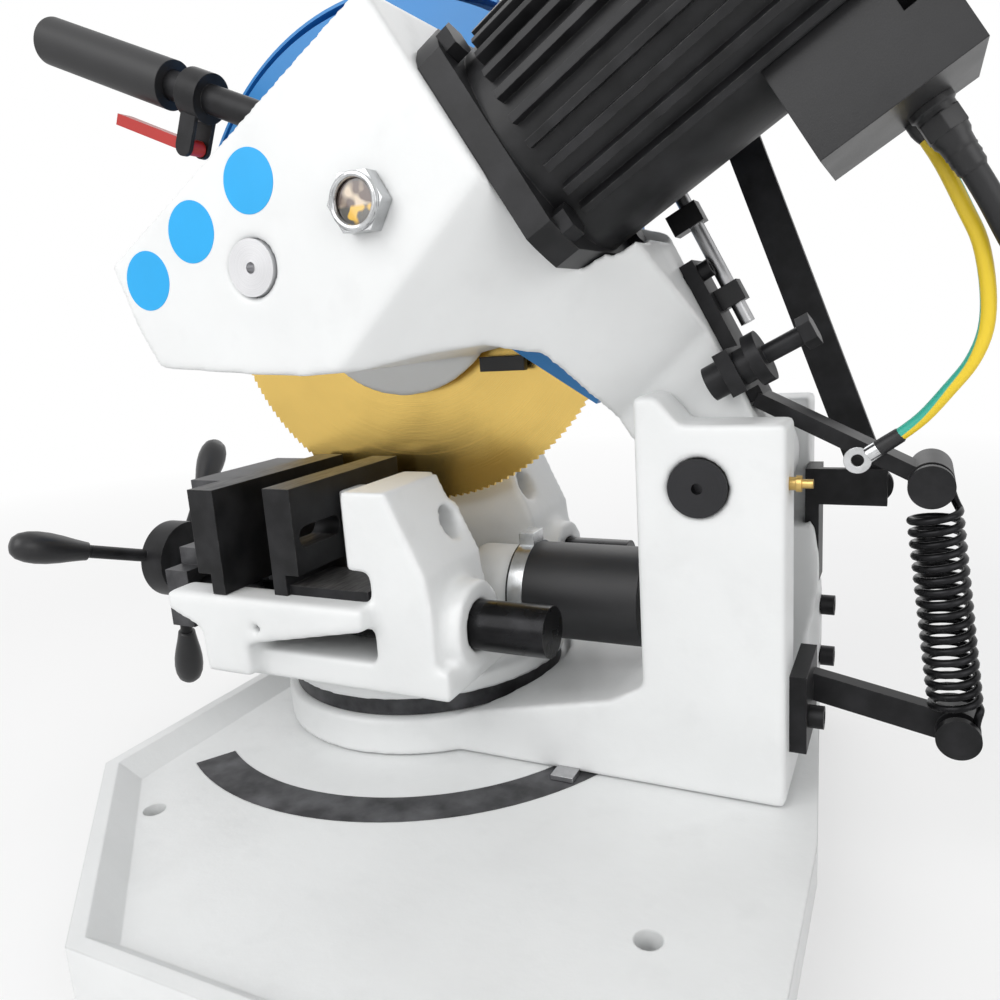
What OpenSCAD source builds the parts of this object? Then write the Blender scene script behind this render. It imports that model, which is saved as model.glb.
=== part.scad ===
// Cold saw with a swivelling head, a quick vise, a worm-driven blade and a sprung return arm.
// X runs to the rear, Y runs away from the operator's side, Z runs up from the bench.

/* [Blade] */
// Blade diameter
blade_d = 315; // [300:1:316]
// Blade thickness
blade_t = 2.5; // [2:0.1:3]
// Number of teeth
blade_teeth = 180; // [120:20:200]
// Tooth depth
tooth_depth = 2; // [1:0.1:3]

/* [Base] */
// Height of the tray floor above the bench
floor_h = 60; // [58:1:70]
// Slab thickness below the floor
slab_t = 22; // [22:1:26]
// Rim height above the floor
rim_h = 12; // [6:1:16]
// Rim width at its top
rim_w = 8; // [5:1:12]
// Run of the slope inside the rim
rim_slope = 12; // [4:1:14]
// Swivel axis to front edge
tray_front = 132; // [132:1:145]
// Swivel axis to near edge
tray_near = 310; // [300:1:320]
// Swivel axis to far edge
tray_far = 190; // [188:1:205]
// Swivel axis to rear edge
tray_rear = 285; // [280:1:300]
// Bolt spacing from front to rear
mount_x = 300; // [296:1:304]
// Bolt spacing from near to far
mount_y = 350; // [340:1:354]
// Mounting hole diameter
mount_hole_d = 13; // [9:0.5:15]

/* [Swivel] */
// Swivel spigot diameter
spigot_d = 120; // [112:1:124]
// Radius of the arm's ring
ring_r = 104; // [104:0.5:106]
// Thickness of the arm's ring
ring_h = 25.5; // [24:0.5:25.5]
// Half width of the arm and column
arm_half = 80; // [78:1:82]
// Half width of the slot for the head
slot_half = 45; // [45:0.5:46]
// Head pivot pin diameter
pivot_d = 31.2; // [28:0.1:34]

/* [Vise] */
// Jaw plate height
jaw_h = 66; // [60:1:66]
// Jaw plate thickness
jaw_t = 20; // [16:0.5:20]
// Jaw opening as drawn
jaw_gap = 31; // [31:0.5:36]
// Guide bar diameter
bar_d = 30; // [24:0.5:30]
// Distance between the guide bars
bar_spacing = 146; // [144:1:147]
// Vise screw diameter
screw_d = 20; // [16:0.5:20]
// Handwheel reach from its axis to a grip's end
wheel_reach = 130; // [110:1:132]
// Handwheel hub diameter
hub_d = 62; // [50:1:66]

/* [Head] */
// Gear case depth
case_depth = 138; // [134:1:140]
// Slope of the motor above level
motor_tilt = 31.6; // [31.2:0.1:32]
// Motor body diameter
motor_d = 132; // [124:1:134]
// Motor body length
motor_len = 153; // [140:1:160]
// Motor flange side
flange_side = 124; // [118:1:124]
// Operating handle length
handle_len = 230; // [220:1:245]

/* [Return spring] */
// Spring coil diameter over the wire
spring_d = 27; // [24:0.5:28]
// Spring wire diameter
wire_d = 4; // [3:0.1:4]
// Number of curls
curls = 17; // [12:1:18]

/* [Cords] */
// Supply cable diameter
cable_d = 11; // [9:0.5:11.5]
// Earth lead diameter
lead_d = 7; // [5:0.5:7.5]

/* [Hidden] */
// General clearances
gap = 0.3;
run_fit = 0.05;
step_in = 0.5;
over = 1;
fine = 72;
soft = 32;
$fn = fine;

// Blade and head centre, measured from the swivel axis and the tray floor
blade_r = blade_d / 2;
tooth_lead = 0.25;
head_x = 5;
head_z = 305;
pivot_x = 222;
pivot_z = 177;
pivot_r = pivot_d / 2;
barrel_r = 36;

// Base
plinth_r = 110;
corner_share = 25 / 62;
near_corner = tray_near * corner_share;
far_corner = 50;
corner_slide = tan(45 / 2);
rear_cut = 28;
rear_break = -105;
mount_mid_x = 75;
mount_mid_y = -25;
foot_r = 28;
foot_h = floor_h - slab_t;
mount_hole_r = mount_hole_d / 2;
hull_skin = 0.01;

// Mitre scale
scale_r = 150.5;
scale_w = 25;
scale_t = 3;
scale_start = -122;
scale_sweep = 102;

// Swivel post and the bolts that hold post and vise down
spigot_r = spigot_d / 2;
arm_lift = 0.5;
ring_top = arm_lift + ring_h;
post_gap = 0.5;
post_seat = ring_top + post_gap;
disc_r = 98;
disc_t = 11.5;
disc_top = post_seat + disc_t;
vise_bolt_r = 6;
vise_bolt_circle = 46;
vise_bolt_seat = 64;
vise_bolt_end = -18;

// Vise body
bed_h = 115;
vise_y = -22;
bar_h = 95;
bar_r = bar_d / 2;
bar_near_y = vise_y - bar_spacing / 2;
bar_far_y = vise_y + bar_spacing / 2;
flange_r = 102;
vise_flange_t = 12;
drum_r = 92;
saddle_bottom = 60;
saddle_top = 78;
saddle_front = -80;
saddle_rear = 92;
saddle_half = 108;
rail_front = -105;
rail_rear = 46;
rail_near = -143;
rail_w = 25;
rail_low_edge = [[46, 101.5], [-42, 85], [-41, 64], [-77, 64], [-79, 92], [-105, 103]];
rail_hole = [-34, 96];
rail_hole_r = 3;
horn_near = -130;
horn_inner = -62;
jaw_back = -5;
horn_step = 44;
horn_step_h = 133;
horn_front = 29;
horn_top = 180;
horn_rear_edge = [[60, 180], [69, 160], [82, 132], [85, 109], [84, 60]];
jaw_block_near = -86;
jaw_block_top = 171;
blade_relief_x = 53;
blade_relief_w = 6;
blade_relief_h = 163;
boss_r = 27;
boss_rear = 96;
screw_boss_r = 20;
spigot_hose_r = 28;
spigot_front = 62;
spigot_rear = 104;
screw_clear = 1.5;
nut_r = 16;
nut_front = 5;
nut_len = 50;

// Jaw plates and their screws
jaw_top = bed_h + jaw_h;
rebate = 10;
rebate_top = 128;
fixed_near_start = -131;
fixed_near_end = -14;
fixed_far_start = 28;
fixed_far_end = 115;
moving_start = -140;
moving_end = -8;
moving_lift = 0.3;
slot_h = 150;
slot_len = 40;
slot_r = 6.5;
slot_near_y = -106;
slot_far_y = 90;
jaw_screw_r = 5;
jaw_screw_h = 152;
jaw_screw_near_y = -78;
jaw_screw_far_y = 34;
jaw_screw_seat = 34;
jaw_screw_bite = 12;
jaw_foot_t = 6;
jaw_foot_near = -128;
jaw_foot_rear = horn_step - 2;
moving_front = jaw_back - jaw_t - jaw_gap;
moving_back = moving_front - jaw_t;

// Carriage
upright_t = 40;
upright_top = 178;
upright_near = -98;
upright_far = -10;
carriage_lift = 1;
shelf_h = 15;
cross_back = moving_back - upright_t;
cross_t = 20;
cross_front = cross_back - cross_t;
cross_bottom = saddle_top + gap;
cross_top = 118;
cross_near = -113;
cross_far = 72;
bar_front = cross_front;
bar_rear = 142;
carriage_screw_h = 166;
carriage_screw_ys = [-80, -26];
carriage_screw_seat = 10;

// Screw and handwheel
screw_r = screw_d / 2;
hub_r = hub_d / 2;
hub_front = -231;
hub_t = 22;
collar_r = 15;
collar_t = 8;
screw_rear = 110;
spoke_r = 5;
dish = 16.7;
spoke_start = 16;
grip_r = 12;
grip_len = 55;
spoke_first = 41;
grip_shares = [[0, 0], [0.5, 0], [0.8, 0.12], [0.95, 0.3], [1, 0.5], [0.95, 0.72], [0.75, 0.9], [0.45, 0.98],
    [0, 1]];

// Hose
hose_r = 31;
hose_front = saddle_rear + gap;
hose_rear = 178;
hose_end = 4;
clamp_front = 94;
clamp_w = 10;
clamp_t = 1.2;
clamp_house_half = 8;
clamp_house_h = 8;

// Arm and column
arm_foot = [60, ring_top];
arm_mid = [104, 36];
arm_rise = [168, 50];
arm_knee = [186, 60];
column_front = 188;
column_rear = 266;
column_shoulder = 210;
column_horn = 225;
horn_w = 12;
notch_w = 13;
far_rear = 263;
web_t = 18;
web_top = 135;
vise_room_r = 104.5;
pocket_floor = 24;
rib_near = 14;
rib_x = 145;
rib_z = 105;
rib_r = 127;
rib_top = 166;
lock_r = 6;
lock_h = 13;
lock_depth = 34;
nipple_r = 3.5;
nipple_hex_r = 4.3;
nipple_tip_r = 2.4;
nipple_len = 11;
pin_out = 2;
drill_r = 3;
drill_depth = 6;
pointer_angle_x = 134;
pointer_w = 14;
pointer_len = 12;
pointer_t = 3;

// Spring pins and brackets, all at the spring's own depth
spring_y = -40;
upper_pin = [331, 173.4];
lower_pin = [348, 39.2];
pin_r = 11;
neck_r = 6;
pin_near = -48;
neck_half = 3.2;
upper_pin_far = 7;
lower_pin_far = -14;
lever_near = -36;
lever_far = -12;
lever_t = 8;
lever_root = [244, 218];
low_plate_t = 9;
low_plate_bottom = 28;
low_plate_top = 72;
low_plate_near = -66;
low_plate_far = -16;
low_arm_t = 10;
low_arm_w = 16;
low_arm_root = [272, 55];
low_screw_y = -56;
low_screw_z = 46;
small_screw_r = 4;
small_screw_bite = 14;

// Link bracket and guard link
link_pin = [301, 157.6];
link_lean = [-0.345, 0.939];
link_len = 240;
link_w = 20;
link_end_r = 11;
link_near = 32.3;
link_t = 6;
link_arm_near = 26;
link_arm_t = 6;
strip_front = far_rear;
strip_t = 8;
strip_far = 52;
strip_low = 96;
strip_high = 168.5;
link_arm_low = 146.5;
link_arm_end = 309;
link_pin_r = 5;
link_head_r = 8;
link_eye_r = 9;
link_eye_wall = 5;
rib_screw_zs = [78.7, 44.4];
rib_screw_y = 37;
rib_pad_half = 8;
rib_pad_low = 34;
rib_pad_high = 89;

// Gear case, as shares of one reach from the blade centre
case_reach = 100;
case_far = -12;
case_near = case_far - case_depth;
case_shares = [[-1.05, 0.10], [0.83, 1.19], [1.65, -0.14], [1.33, -0.54], [1.13, -0.48], [0.86, -0.51],
    [0.56, -0.57], [0.24, -0.58], [-0.09, -0.56], [-0.78, -0.50], [-0.92, -0.25]];
neck_shares = [[0.60, -0.05], [1.38, 0.20], [1.88, 0.06], [2.20, -0.57], [2.49, -1.15], [2.17, -1.28],
    [1.71, -1.08], [1.31, -0.44], [1.0, -0.40]];
root_shares = [[1.77, -1.0], [1.95, -0.43], [2.35, -0.90], [2.49, -1.15], [2.17, -1.28]];
neck_near = -44;
facet_x = 89;
facet_z = 283.5;
facet_turn = 46.6;
facet_slope = 44;
spindle_boss_r = 82;
spindle_boss_far = -5;

// Worm drive
worm_y = -83;
wheel_teeth = 24;
module_size = 2;
wheel_pitch_r = wheel_teeth * module_size / 2;
worm_mean_r = 10;
worm_throw = 2;
worm_drop = wheel_pitch_r + worm_mean_r + worm_throw;
worm_pitch = PI * module_size;
worm_turns = 6;
worm_slices = 8;
worm_sides = 16;
worm_half = worm_turns * worm_pitch / 2;
mesh_gap = 0.7;
wheel_mean_r = worm_drop - worm_mean_r - mesh_gap;
wheel_wave = 1.6;
wheel_t = 16;
wheel_steps = 6;
wheel_room = 6;
wheel_room_r = wheel_mean_r + wheel_room;
gear_room_near = -116;
gear_room_far = -42;
worm_room_r = 14;
worm_front = -24;
motor_shaft_r = 8;

// Spindle
cap_r = 15;
cap_out = 1;
seat_r = 17;
seat_near = -118;
seat_far = -40;
journal_r = 20;
nose_r = 16;
nose_far = 7;
clamp_r = 28;
clamp_room = 2;
clamp_near = -10;
clamp_cap_far = 8;
bolt_hex_r = 12;
bolt_hex_far = 12.5;
near_bearing = [-140, -122, 31];
far_bearing = [-36, -18, 36];

// Motor
motor_face = 133.2;
motor_flange_t = 14;
motor_flange_round = 78;
motor_r = motor_d / 2;
rib_depth = 6;
motor_core_r = motor_r - rib_depth;
motor_wall = 10;
rib_count = 24;
cooling_rib_t = 4;
cooling_rib_start = 10;
bare_sector = 42;
cowl_len = 45;
cowl_wall = 3;
vent_count = 8;
vent_w = 7;
vent_in = 18;
vent_out = 52;
rotor_r = 46;
rotor_inset = 18;
fan_r = 54;
fan_hub_r = 16;
fan_t = 22;
fan_blades = 7;
fan_blade_t = 3;
motor_bolt_r = 5;
motor_bolt_reach = 50;
motor_bolt_bite = 16;
hex_share = 1.75;
hex_high_share = 1.3;
socket_share = 1.575;
box_front = 248;
box_rear = 318;
box_bottom = -130;
box_half = 35;
gland_a = 295;
gland_y = -68;
gland_r = 10;
gland_len = 20;
lead_exit_a = 288;
lead_exit_y = -54;
lead_gland_r = 4.8;
lead_gland_len = 10;

// Sight glass on the near face
sight_x = 80;
sight_z = 329;
sight_hex_r = 16;
sight_out = 9;
sight_lens_r = 11;
sight_deep = 8;

// Guards
near_plate_t = 1.5;
blade_room = 8.5;
guard_rim_r = blade_r + blade_room;
guard_rim_t = 2;
guard_far = 15;
guard_start = -33;
guard_end = 198;
guard_hub_r = 40;
guard_hub_in = 30;
guard_hub_far = 23;
near_plate_gap = 0.5;
near_plate_in = spindle_boss_r + near_plate_gap;
rim_room = 6;
moving_rim_r = guard_rim_r + rim_room;
moving_rim_t = 2;
moving_near = -8;
moving_far = 20;
moving_sheet = 2;
moving_from = 60;
moving_to = 198;
lug_t = 6;
lug_w = 22;
lug_end_r = 13;
guard_pin_far = 40;
slider_x = 64;
slider_len = 32;
slider_z = 237;
slider_h = 9.5;
slider_far = -6;

// Fittings on the back of the neck, in a frame square to it
back_at = [225, 248];
back_turn = 26.9;
back_near = -34;
back_far = -6;
back_plate_t = 8;
back_plate_low = -36;
back_plate_high = 48;
stop_r = 9.5;
stop_y = neck_near - stop_r - 1;
stop_high = -17;
stop_start = -10;
stop_len = 15;
stop_lug_half = 12;
stop_bolt_r = 5;
stop_bolt_len = 42;
stop_collar_r = 14;
stop_nut_t = 7;
rod_r = 4;
rod_out = 16;
rod_low = 4;
rod_high = 92;
rod_block = 12;
rod_block_t = 12;
rod_block_highs = [22, 71];
rod_y = case_far - gap - rod_block / 2;
back_screw_high = 40;
back_screw_y = -28.6;
back_screw_r = 3.2;

// Operating handle
handle_at = [8.6, 378];
handle_y = -80;
handle_lean = 23.8;
handle_r = 9;
handle_sunk = 20;
handle_grip_r = 15;
handle_end = 6;
ring_at = 96;
ring_w = 16;
ring_out_r = 15;
grip_room = 16;
handle_grip_len = handle_len - ring_at - ring_w / 2 - grip_room;
ear_inner = 6;
ear_t = 3;
ear_drop = 31;
ear_r = 6;
trigger_pin_r = 3;
trigger_half = 5.5;
trigger_len = 62;
trigger_t = 7;

// Swivel lock
lock_hub_r = 10;
lock_hub_len = 22;
lock_bar_r = 4.5;
lock_bar_len = 70;
lock_lift = 12;
lock_ball_r = 8;

// Cords
cable_sides = 10;
cable_points = [[349, -66, 308], [358, -61, 291], [372, -55, 265], [386, -48, 230], [397, -42, 190],
    [406, -39, 140], [415, -40, 95], [424, -43, 50], [431, -45, 14], [432, -45.5, -9], [432, -40, -31.7],
    [431, -23.5, -48.2], [430, -1, -54.2]];
lead_points = [[332, -55, 322], [340, -55, 305], [347, -54, 289], [351, -52, 268], [351, -50, 250],
    [346, -48, 235], [337, -46, 222], [326, -43, 208], [314, -41, 197.6], [306, -41, 192]];
coil_r = 70;
coil_gap = 1;
coil_step = cable_d + coil_gap;
coil_turns = 1.75;
climb_turns = 0.5;
coil_mid = [500, 40];
coil_sides = 6;
coil_rings = 24;
tail_rings = 4;
tail_len = 66;
join_len = 4;
cable_rest = cable_d / 2 - floor_h + gap;
plug_r = 22;
plug_len = 90;
plug_boot = 20;
boot_share = 0.9;
lug_at = [296, 185];
lug_r = 7;
lug_hole_r = 3.2;
lug_plate_t = 1.2;
lug_neck = 12;
lug_barrel_r = 4.2;
lug_barrel_len = 6;

// Drawing helpers
module on_floor() {
    translate([0, 0, floor_h])
        children();
}

module block(low, high) {
    translate(low)
        cube(high - low);
}

module bar_x(r, x0, x1, y, z) {
    translate([x0, y, z])
        rotate([0, 90, 0])
            cylinder(r = r, h = x1 - x0);
}

module bar_y(r, y0, y1, x, z) {
    translate([x, y1, z])
        rotate([90, 0, 0])
            cylinder(r = r, h = y1 - y0);
}

module side_plate(points, y0, y1) {
    translate([0, y1, 0])
        rotate([90, 0, 0])
            linear_extrude(y1 - y0)
                polygon(points);
}

// A bar of given thickness between two points of the side view
module strut(p, q, t, y0, y1) {
    run = q - p;
    translate([p[0], 0, p[1]])
        rotate([0, -atan2(run[1], run[0]), 0])
            block([0, y0, -t / 2], [norm(run), y1, t / 2]);
}

module ring_y(r_in, r_out, y0, y1, x, z) {
    difference() {
        bar_y(r_out, y0, y1, x, z);
        bar_y(r_in, y0 - over, y1 + over, x, z);
    }
}

// A ring sector about the blade axis, angles counted from the rear upward
module sector_y(r_in, r_out, from, to, y0, y1) {
    translate([head_x, y1, head_z])
        rotate([90, 0, 0])
            rotate([0, 0, from])
                rotate_extrude(angle = to - from)
                    translate([r_in, 0])
                        square([r_out - r_in, y1 - y0]);
}

// A socket screw along +X, head seat at the origin and head toward +X
module socket_screw(r, bite) {
    head_r = r * socket_share;
    difference() {
        union() {
            bar_x(r, -bite, 0, 0, 0);
            bar_x(head_r, 0, 2 * r, 0, 0);
        }
        translate([r, 0, 0])
            rotate([0, 90, 0])
                cylinder(r = r, h = r + over, $fn = 6);
    }
}

// A hexagon bolt along +X, head seat at the origin and head toward +X
module hex_bolt(r, bite) {
    bar_x(r, -bite, 0, 0, 0);
    rotate([0, 90, 0])
        cylinder(r = r * hex_share, h = r * hex_high_share, $fn = 6);
}

module case_frame() {
    translate([head_x, 0, head_z])
        rotate([0, -motor_tilt, 0])
            children();
}

module motor_frame() {
    case_frame()
        translate([0, worm_y, -worm_drop])
            children();
}

module back_frame() {
    translate([back_at[0], 0, back_at[1]])
        rotate([0, -back_turn, 0])
            children();
}

function head_points(shares) = [for (s = shares) [head_x, head_z] + case_reach * s];

// Tubes swept along a line of points
function unit(v) = v / norm(v);
function heading(p, i) = unit(p[min(i + 1, len(p) - 1)] - p[max(i - 1, 0)]);
function level(v, t) = unit(v - (v * t) * t);
function sides_of(p, start) = [for (i = 0, n = level(start, heading(p, 0)); i < len(p);
    i = i + 1, n = i < len(p) ? level(n, heading(p, i)) : n) n];
function mix(p, q, s) = p + (q - p) * s;
function curve(p, q, r, s, t) = mix(mix(mix(p, q, t), mix(q, r, t), t), mix(mix(q, r, t), mix(r, s, t),
    t), t);
function smooth(p, i, t) = curve(p[i], p[i] + (p[i + 1] - p[max(i - 1, 0)]) / 6,
    p[i + 1] - (p[min(i + 2, len(p) - 1)] - p[i]) / 6, p[i + 1], t);
function smoothed(p, steps) = [for (i = [0:len(p) - 2], k = [0:steps - 1]) smooth(p, i, k / steps),
    p[len(p) - 1]];
function reach(p) = len(p) < 2 ? 0 : norm(p[len(p) - 1] - p[len(p) - 2])
    + reach([for (i = [0:len(p) - 2]) p[i]]);

module tube(p, r, sides, start) {
    across = sides_of(p, start);
    last = len(p) - 1;
    corners = [for (i = [0:last], k = [0:sides - 1])
        let (side = across[i], turn = 360 * k / sides)
        p[i] + r * (cos(turn) * side + sin(turn) * cross(heading(p, i), side))];
    walls = [for (i = [0:last - 1], k = [0:sides - 1], half = [0, 1])
        let (a = i * sides + k, b = i * sides + (k + 1) % sides)
        half == 0 ? [a, a + sides, b] : [b, a + sides, b + sides]];
    first_cap = [for (k = [1:sides - 2]) [0, k, k + 1]];
    last_cap = [for (k = [1:sides - 2]) [last * sides, last * sides + k + 1, last * sides + k]];
    polyhedron(points = corners, faces = concat(walls, first_cap, last_cap));
}

// Base and swivel post
function rear_at(rear, y) = rear - rear_cut * (y - rear_break) / (tray_far - rear_break);
function tray_points(inset, rear) = [
    [-tray_front + inset, near_corner - tray_near + corner_slide * inset],
    [-tray_front + near_corner + corner_slide * inset, inset - tray_near],
    [rear, inset - tray_near],
    [rear, rear_break],
    [rear_at(rear, tray_far - inset), tray_far - inset],
    [-tray_front + far_corner + corner_slide * inset, tray_far - inset],
    [-tray_front + inset, tray_far - far_corner - corner_slide * inset]];

module at_feet() {
    for (sx = [-1, 1], sy = [-1, 1])
        translate([mount_mid_x + sx * mount_x / 2, mount_mid_y + sy * mount_y / 2, 0])
            children();
}

module at_vise_bolts() {
    for (turn = [45:90:315])
        rotate([0, 0, turn])
            translate([vise_bolt_circle, 0, 0])
                children();
}

module base_casting() {
    color("whitesmoke")
        difference() {
            union() {
                translate([0, 0, foot_h])
                    linear_extrude(slab_t + rim_h)
                        polygon(tray_points(0, tray_rear));
                cylinder(r = plinth_r, h = floor_h - over);
            }
            hull() {
                translate([0, 0, floor_h])
                    linear_extrude(hull_skin)
                        polygon(tray_points(rim_w + rim_slope, tray_rear + over));
                translate([0, 0, floor_h + rim_h])
                    linear_extrude(over)
                        polygon(tray_points(rim_w, tray_rear + over));
            }
            translate([0, 0, floor_h - scale_t])
                rotate([0, 0, scale_start])
                    rotate_extrude(angle = scale_sweep)
                        translate([scale_r - gap, 0])
                            square([scale_w + 2 * gap, scale_t + over]);
            at_feet()
                translate([0, 0, foot_h - over])
                    cylinder(r = mount_hole_r, h = slab_t + 2 * over);
            at_vise_bolts()
                translate([0, 0, floor_h + vise_bolt_end - over])
                    cylinder(r = vise_bolt_r + gap, h = floor_h);
        }
}

module mounting_feet() {
    color("dimgray")
        at_feet()
            difference() {
                cylinder(r = foot_r, h = foot_h);
                translate([0, 0, -over])
                    cylinder(r = mount_hole_r, h = foot_h + 2 * over);
            }
}

module scale_band() {
    color("dimgray")
        translate([0, 0, floor_h - scale_t])
            rotate([0, 0, scale_start])
                rotate_extrude(angle = scale_sweep)
                    translate([scale_r, 0])
                        square([scale_w, scale_t]);
}

module swivel_post() {
    color("dimgray")
        on_floor()
            difference() {
                union() {
                    cylinder(r = spigot_r, h = disc_top);
                    translate([0, 0, post_seat])
                        cylinder(r = disc_r, h = disc_top - post_seat);
                }
                at_vise_bolts()
                    translate([0, 0, -over])
                        cylinder(r = vise_bolt_r + gap, h = disc_top + 2 * over);
            }
}

module vise_bolts() {
    color("black")
        on_floor()
            at_vise_bolts()
                translate([0, 0, vise_bolt_seat])
                    rotate([0, -90, 0])
                        socket_screw(vise_bolt_r, vise_bolt_seat - vise_bolt_end);
}

// Vise body
module mirror_vise() {
    children();
    translate([0, 2 * vise_y, 0])
        mirror([0, 1, 0])
            children();
}

module vise_horn() {
    side_plate(concat([[horn_step, saddle_bottom], [horn_step, horn_step_h], [horn_front, horn_step_h],
        [horn_front, horn_top]], horn_rear_edge), horn_near, horn_inner);
    block([jaw_back, jaw_block_near, saddle_bottom], [horn_step + over, horn_inner, jaw_block_top]);
    bar_x(boss_r, horn_step + over, boss_rear, bar_near_y, bar_h);
    side_plate(concat([[rail_front, bed_h], [rail_rear, bed_h]], rail_low_edge), rail_near,
        rail_near + rail_w);
}

module vise_body() {
    color("whitesmoke")
        on_floor()
            difference() {
                union() {
                    translate([0, 0, disc_top])
                        cylinder(r = flange_r, h = vise_flange_t);
                    translate([0, 0, disc_top])
                        cylinder(r = drum_r, h = saddle_top - disc_top);
                    block([saddle_front, vise_y - saddle_half, saddle_bottom],
                        [saddle_rear, vise_y + saddle_half, saddle_top]);
                    mirror_vise()
                        vise_horn();
                    bar_x(screw_boss_r, 0, spigot_front + over, vise_y, bar_h);
                    bar_x(spigot_hose_r, spigot_front, spigot_rear, vise_y, bar_h);
                    block([0, vise_y - nut_r, saddle_top - over], [spigot_front, vise_y + nut_r, bar_h]);
                }
                for (y = [bar_near_y, bar_far_y])
                    bar_x(bar_r + run_fit, rail_front, boss_rear + over, y, bar_h);
                bar_x(screw_r + screw_clear, -over, spigot_rear + over, vise_y, bar_h);
                bar_x(nut_r + run_fit, nut_front, nut_front + nut_len, vise_y, bar_h);
                bar_x(nut_r + run_fit, -over, nut_front + over, vise_y, bar_h);
                bar_y(rail_hole_r, rail_near - over, rail_near + rail_w + over, rail_hole[0], rail_hole[1]);
                block([blade_relief_x, horn_inner - blade_relief_w, blade_relief_h],
                    [saddle_rear, horn_inner + over, horn_top + over]);
                at_vise_bolts() {
                    translate([0, 0, disc_top - over])
                        cylinder(r = vise_bolt_r + gap, h = saddle_top);
                    translate([0, 0, vise_bolt_seat])
                        cylinder(r = 2 * vise_bolt_r, h = saddle_top - vise_bolt_seat + over);
                }
                for (y = [jaw_screw_near_y, jaw_screw_far_y]) {
                    bar_x(jaw_screw_r + gap, jaw_back - over, jaw_screw_seat + over, y, jaw_screw_h);
                    bar_x(2 * jaw_screw_r, jaw_screw_seat, saddle_rear, y, jaw_screw_h);
                }
            }
}

module jaw_plate(back, y0, y1, bottom, top, slot_y, rebate_side) {
    front = rebate_side > 0 ? back - jaw_t : back + jaw_t;
    cut_from = rebate_side > 0 ? back - rebate : back - over;
    cut_to = rebate_side > 0 ? back + over : back + rebate;
    difference() {
        block([min(front, back), y0, bottom], [max(front, back), y1, top]);
        block([cut_from, y0 - over, bottom - over], [cut_to, y1 + over, rebate_top]);
        for (end = [-1, 1])
            bar_x(slot_r, min(front, back) - over, max(front, back) + over,
                slot_y + end * (slot_len / 2 - slot_r), slot_h);
        block([min(front, back) - over, slot_y - slot_len / 2 + slot_r, slot_h - slot_r],
            [max(front, back) + over, slot_y + slot_len / 2 - slot_r, slot_h + slot_r]);
    }
}

module fixed_jaw_near() {
    color("black")
        on_floor() {
            difference() {
                jaw_plate(jaw_back, fixed_near_start, fixed_near_end, bed_h, jaw_top, slot_near_y, 1);
                bar_x(jaw_screw_r + gap, jaw_back - jaw_screw_bite - over, jaw_back + over,
                    jaw_screw_near_y, jaw_screw_h);
            }
            block([jaw_back - rebate - over, jaw_foot_near, bed_h],
                [jaw_foot_rear, jaw_block_near - gap, bed_h + jaw_foot_t]);
        }
}

module fixed_jaw_far() {
    color("black")
        on_floor()
            difference() {
                jaw_plate(jaw_back, fixed_far_start, fixed_far_end, bed_h, jaw_top, slot_far_y, 1);
                bar_x(jaw_screw_r + gap, jaw_back - jaw_screw_bite - over, jaw_back + over,
                    jaw_screw_far_y, jaw_screw_h);
            }
}

module fixed_jaw_screws() {
    color("black")
        on_floor()
            for (y = [jaw_screw_near_y, jaw_screw_far_y])
                translate([jaw_screw_seat, y, jaw_screw_h])
                    socket_screw(jaw_screw_r, jaw_screw_seat - jaw_back + jaw_screw_bite);
}

module vise_nut() {
    color("goldenrod")
        on_floor()
            difference() {
                bar_x(nut_r, nut_front, nut_front + nut_len, vise_y, bar_h);
                bar_x(screw_r + run_fit, 0, spigot_rear, vise_y, bar_h);
            }
}

module screw_hose() {
    color("black")
        on_floor()
            difference() {
                bar_x(hose_r, hose_front, hose_rear, vise_y, bar_h);
                bar_x(spigot_hose_r + run_fit, hose_front - over, hose_rear - hose_end, vise_y, bar_h);
            }
}

module hose_clamp() {
    color("silver")
        on_floor()
            difference() {
                union() {
                    bar_x(hose_r + clamp_t, clamp_front, clamp_front + clamp_w, vise_y, bar_h);
                    block([clamp_front, vise_y - clamp_house_half, bar_h + hose_r],
                        [clamp_front + clamp_w, vise_y + clamp_house_half, bar_h + hose_r + clamp_house_h]);
                }
                bar_x(hose_r + run_fit, clamp_front - over, clamp_front + clamp_w + over, vise_y, bar_h);
            }
}

// Moving jaw
module jaw_carriage() {
    color("dimgray")
        on_floor()
            difference() {
                union() {
                    block([cross_back, upright_near, bed_h + carriage_lift],
                        [moving_back, upright_far, upright_top]);
                    block([cross_front, upright_near, bed_h + carriage_lift],
                        [moving_back, upright_far, bed_h + shelf_h]);
                    block([cross_front, cross_near, cross_bottom], [cross_back, cross_far, cross_top]);
                }
                for (y = [bar_near_y, bar_far_y])
                    bar_x(bar_r + run_fit, cross_front - over, cross_back + over, y, bar_h);
                bar_x(screw_r + run_fit, cross_front - over, cross_back + over, vise_y, bar_h);
                for (y = carriage_screw_ys) {
                    bar_x(jaw_screw_r + gap, cross_back - over, moving_back + over, y, carriage_screw_h);
                    bar_x(2 * jaw_screw_r, cross_back - over, cross_back + carriage_screw_seat, y,
                        carriage_screw_h);
                }
            }
}

module moving_jaw() {
    color("black")
        on_floor()
            difference() {
                jaw_plate(moving_back, moving_start, moving_end, bed_h + moving_lift, jaw_top, slot_near_y
                    + slot_len, -1);
                for (y = carriage_screw_ys)
                    bar_x(jaw_screw_r + gap, moving_back - over, moving_back + jaw_screw_bite + over,
                        y, carriage_screw_h);
            }
}

module moving_jaw_screws() {
    color("black")
        on_floor()
            for (y = carriage_screw_ys)
                translate([cross_back + carriage_screw_seat, y, carriage_screw_h])
                    rotate([0, 180, 0])
                        socket_screw(jaw_screw_r, upright_t - carriage_screw_seat + jaw_screw_bite);
}

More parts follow.
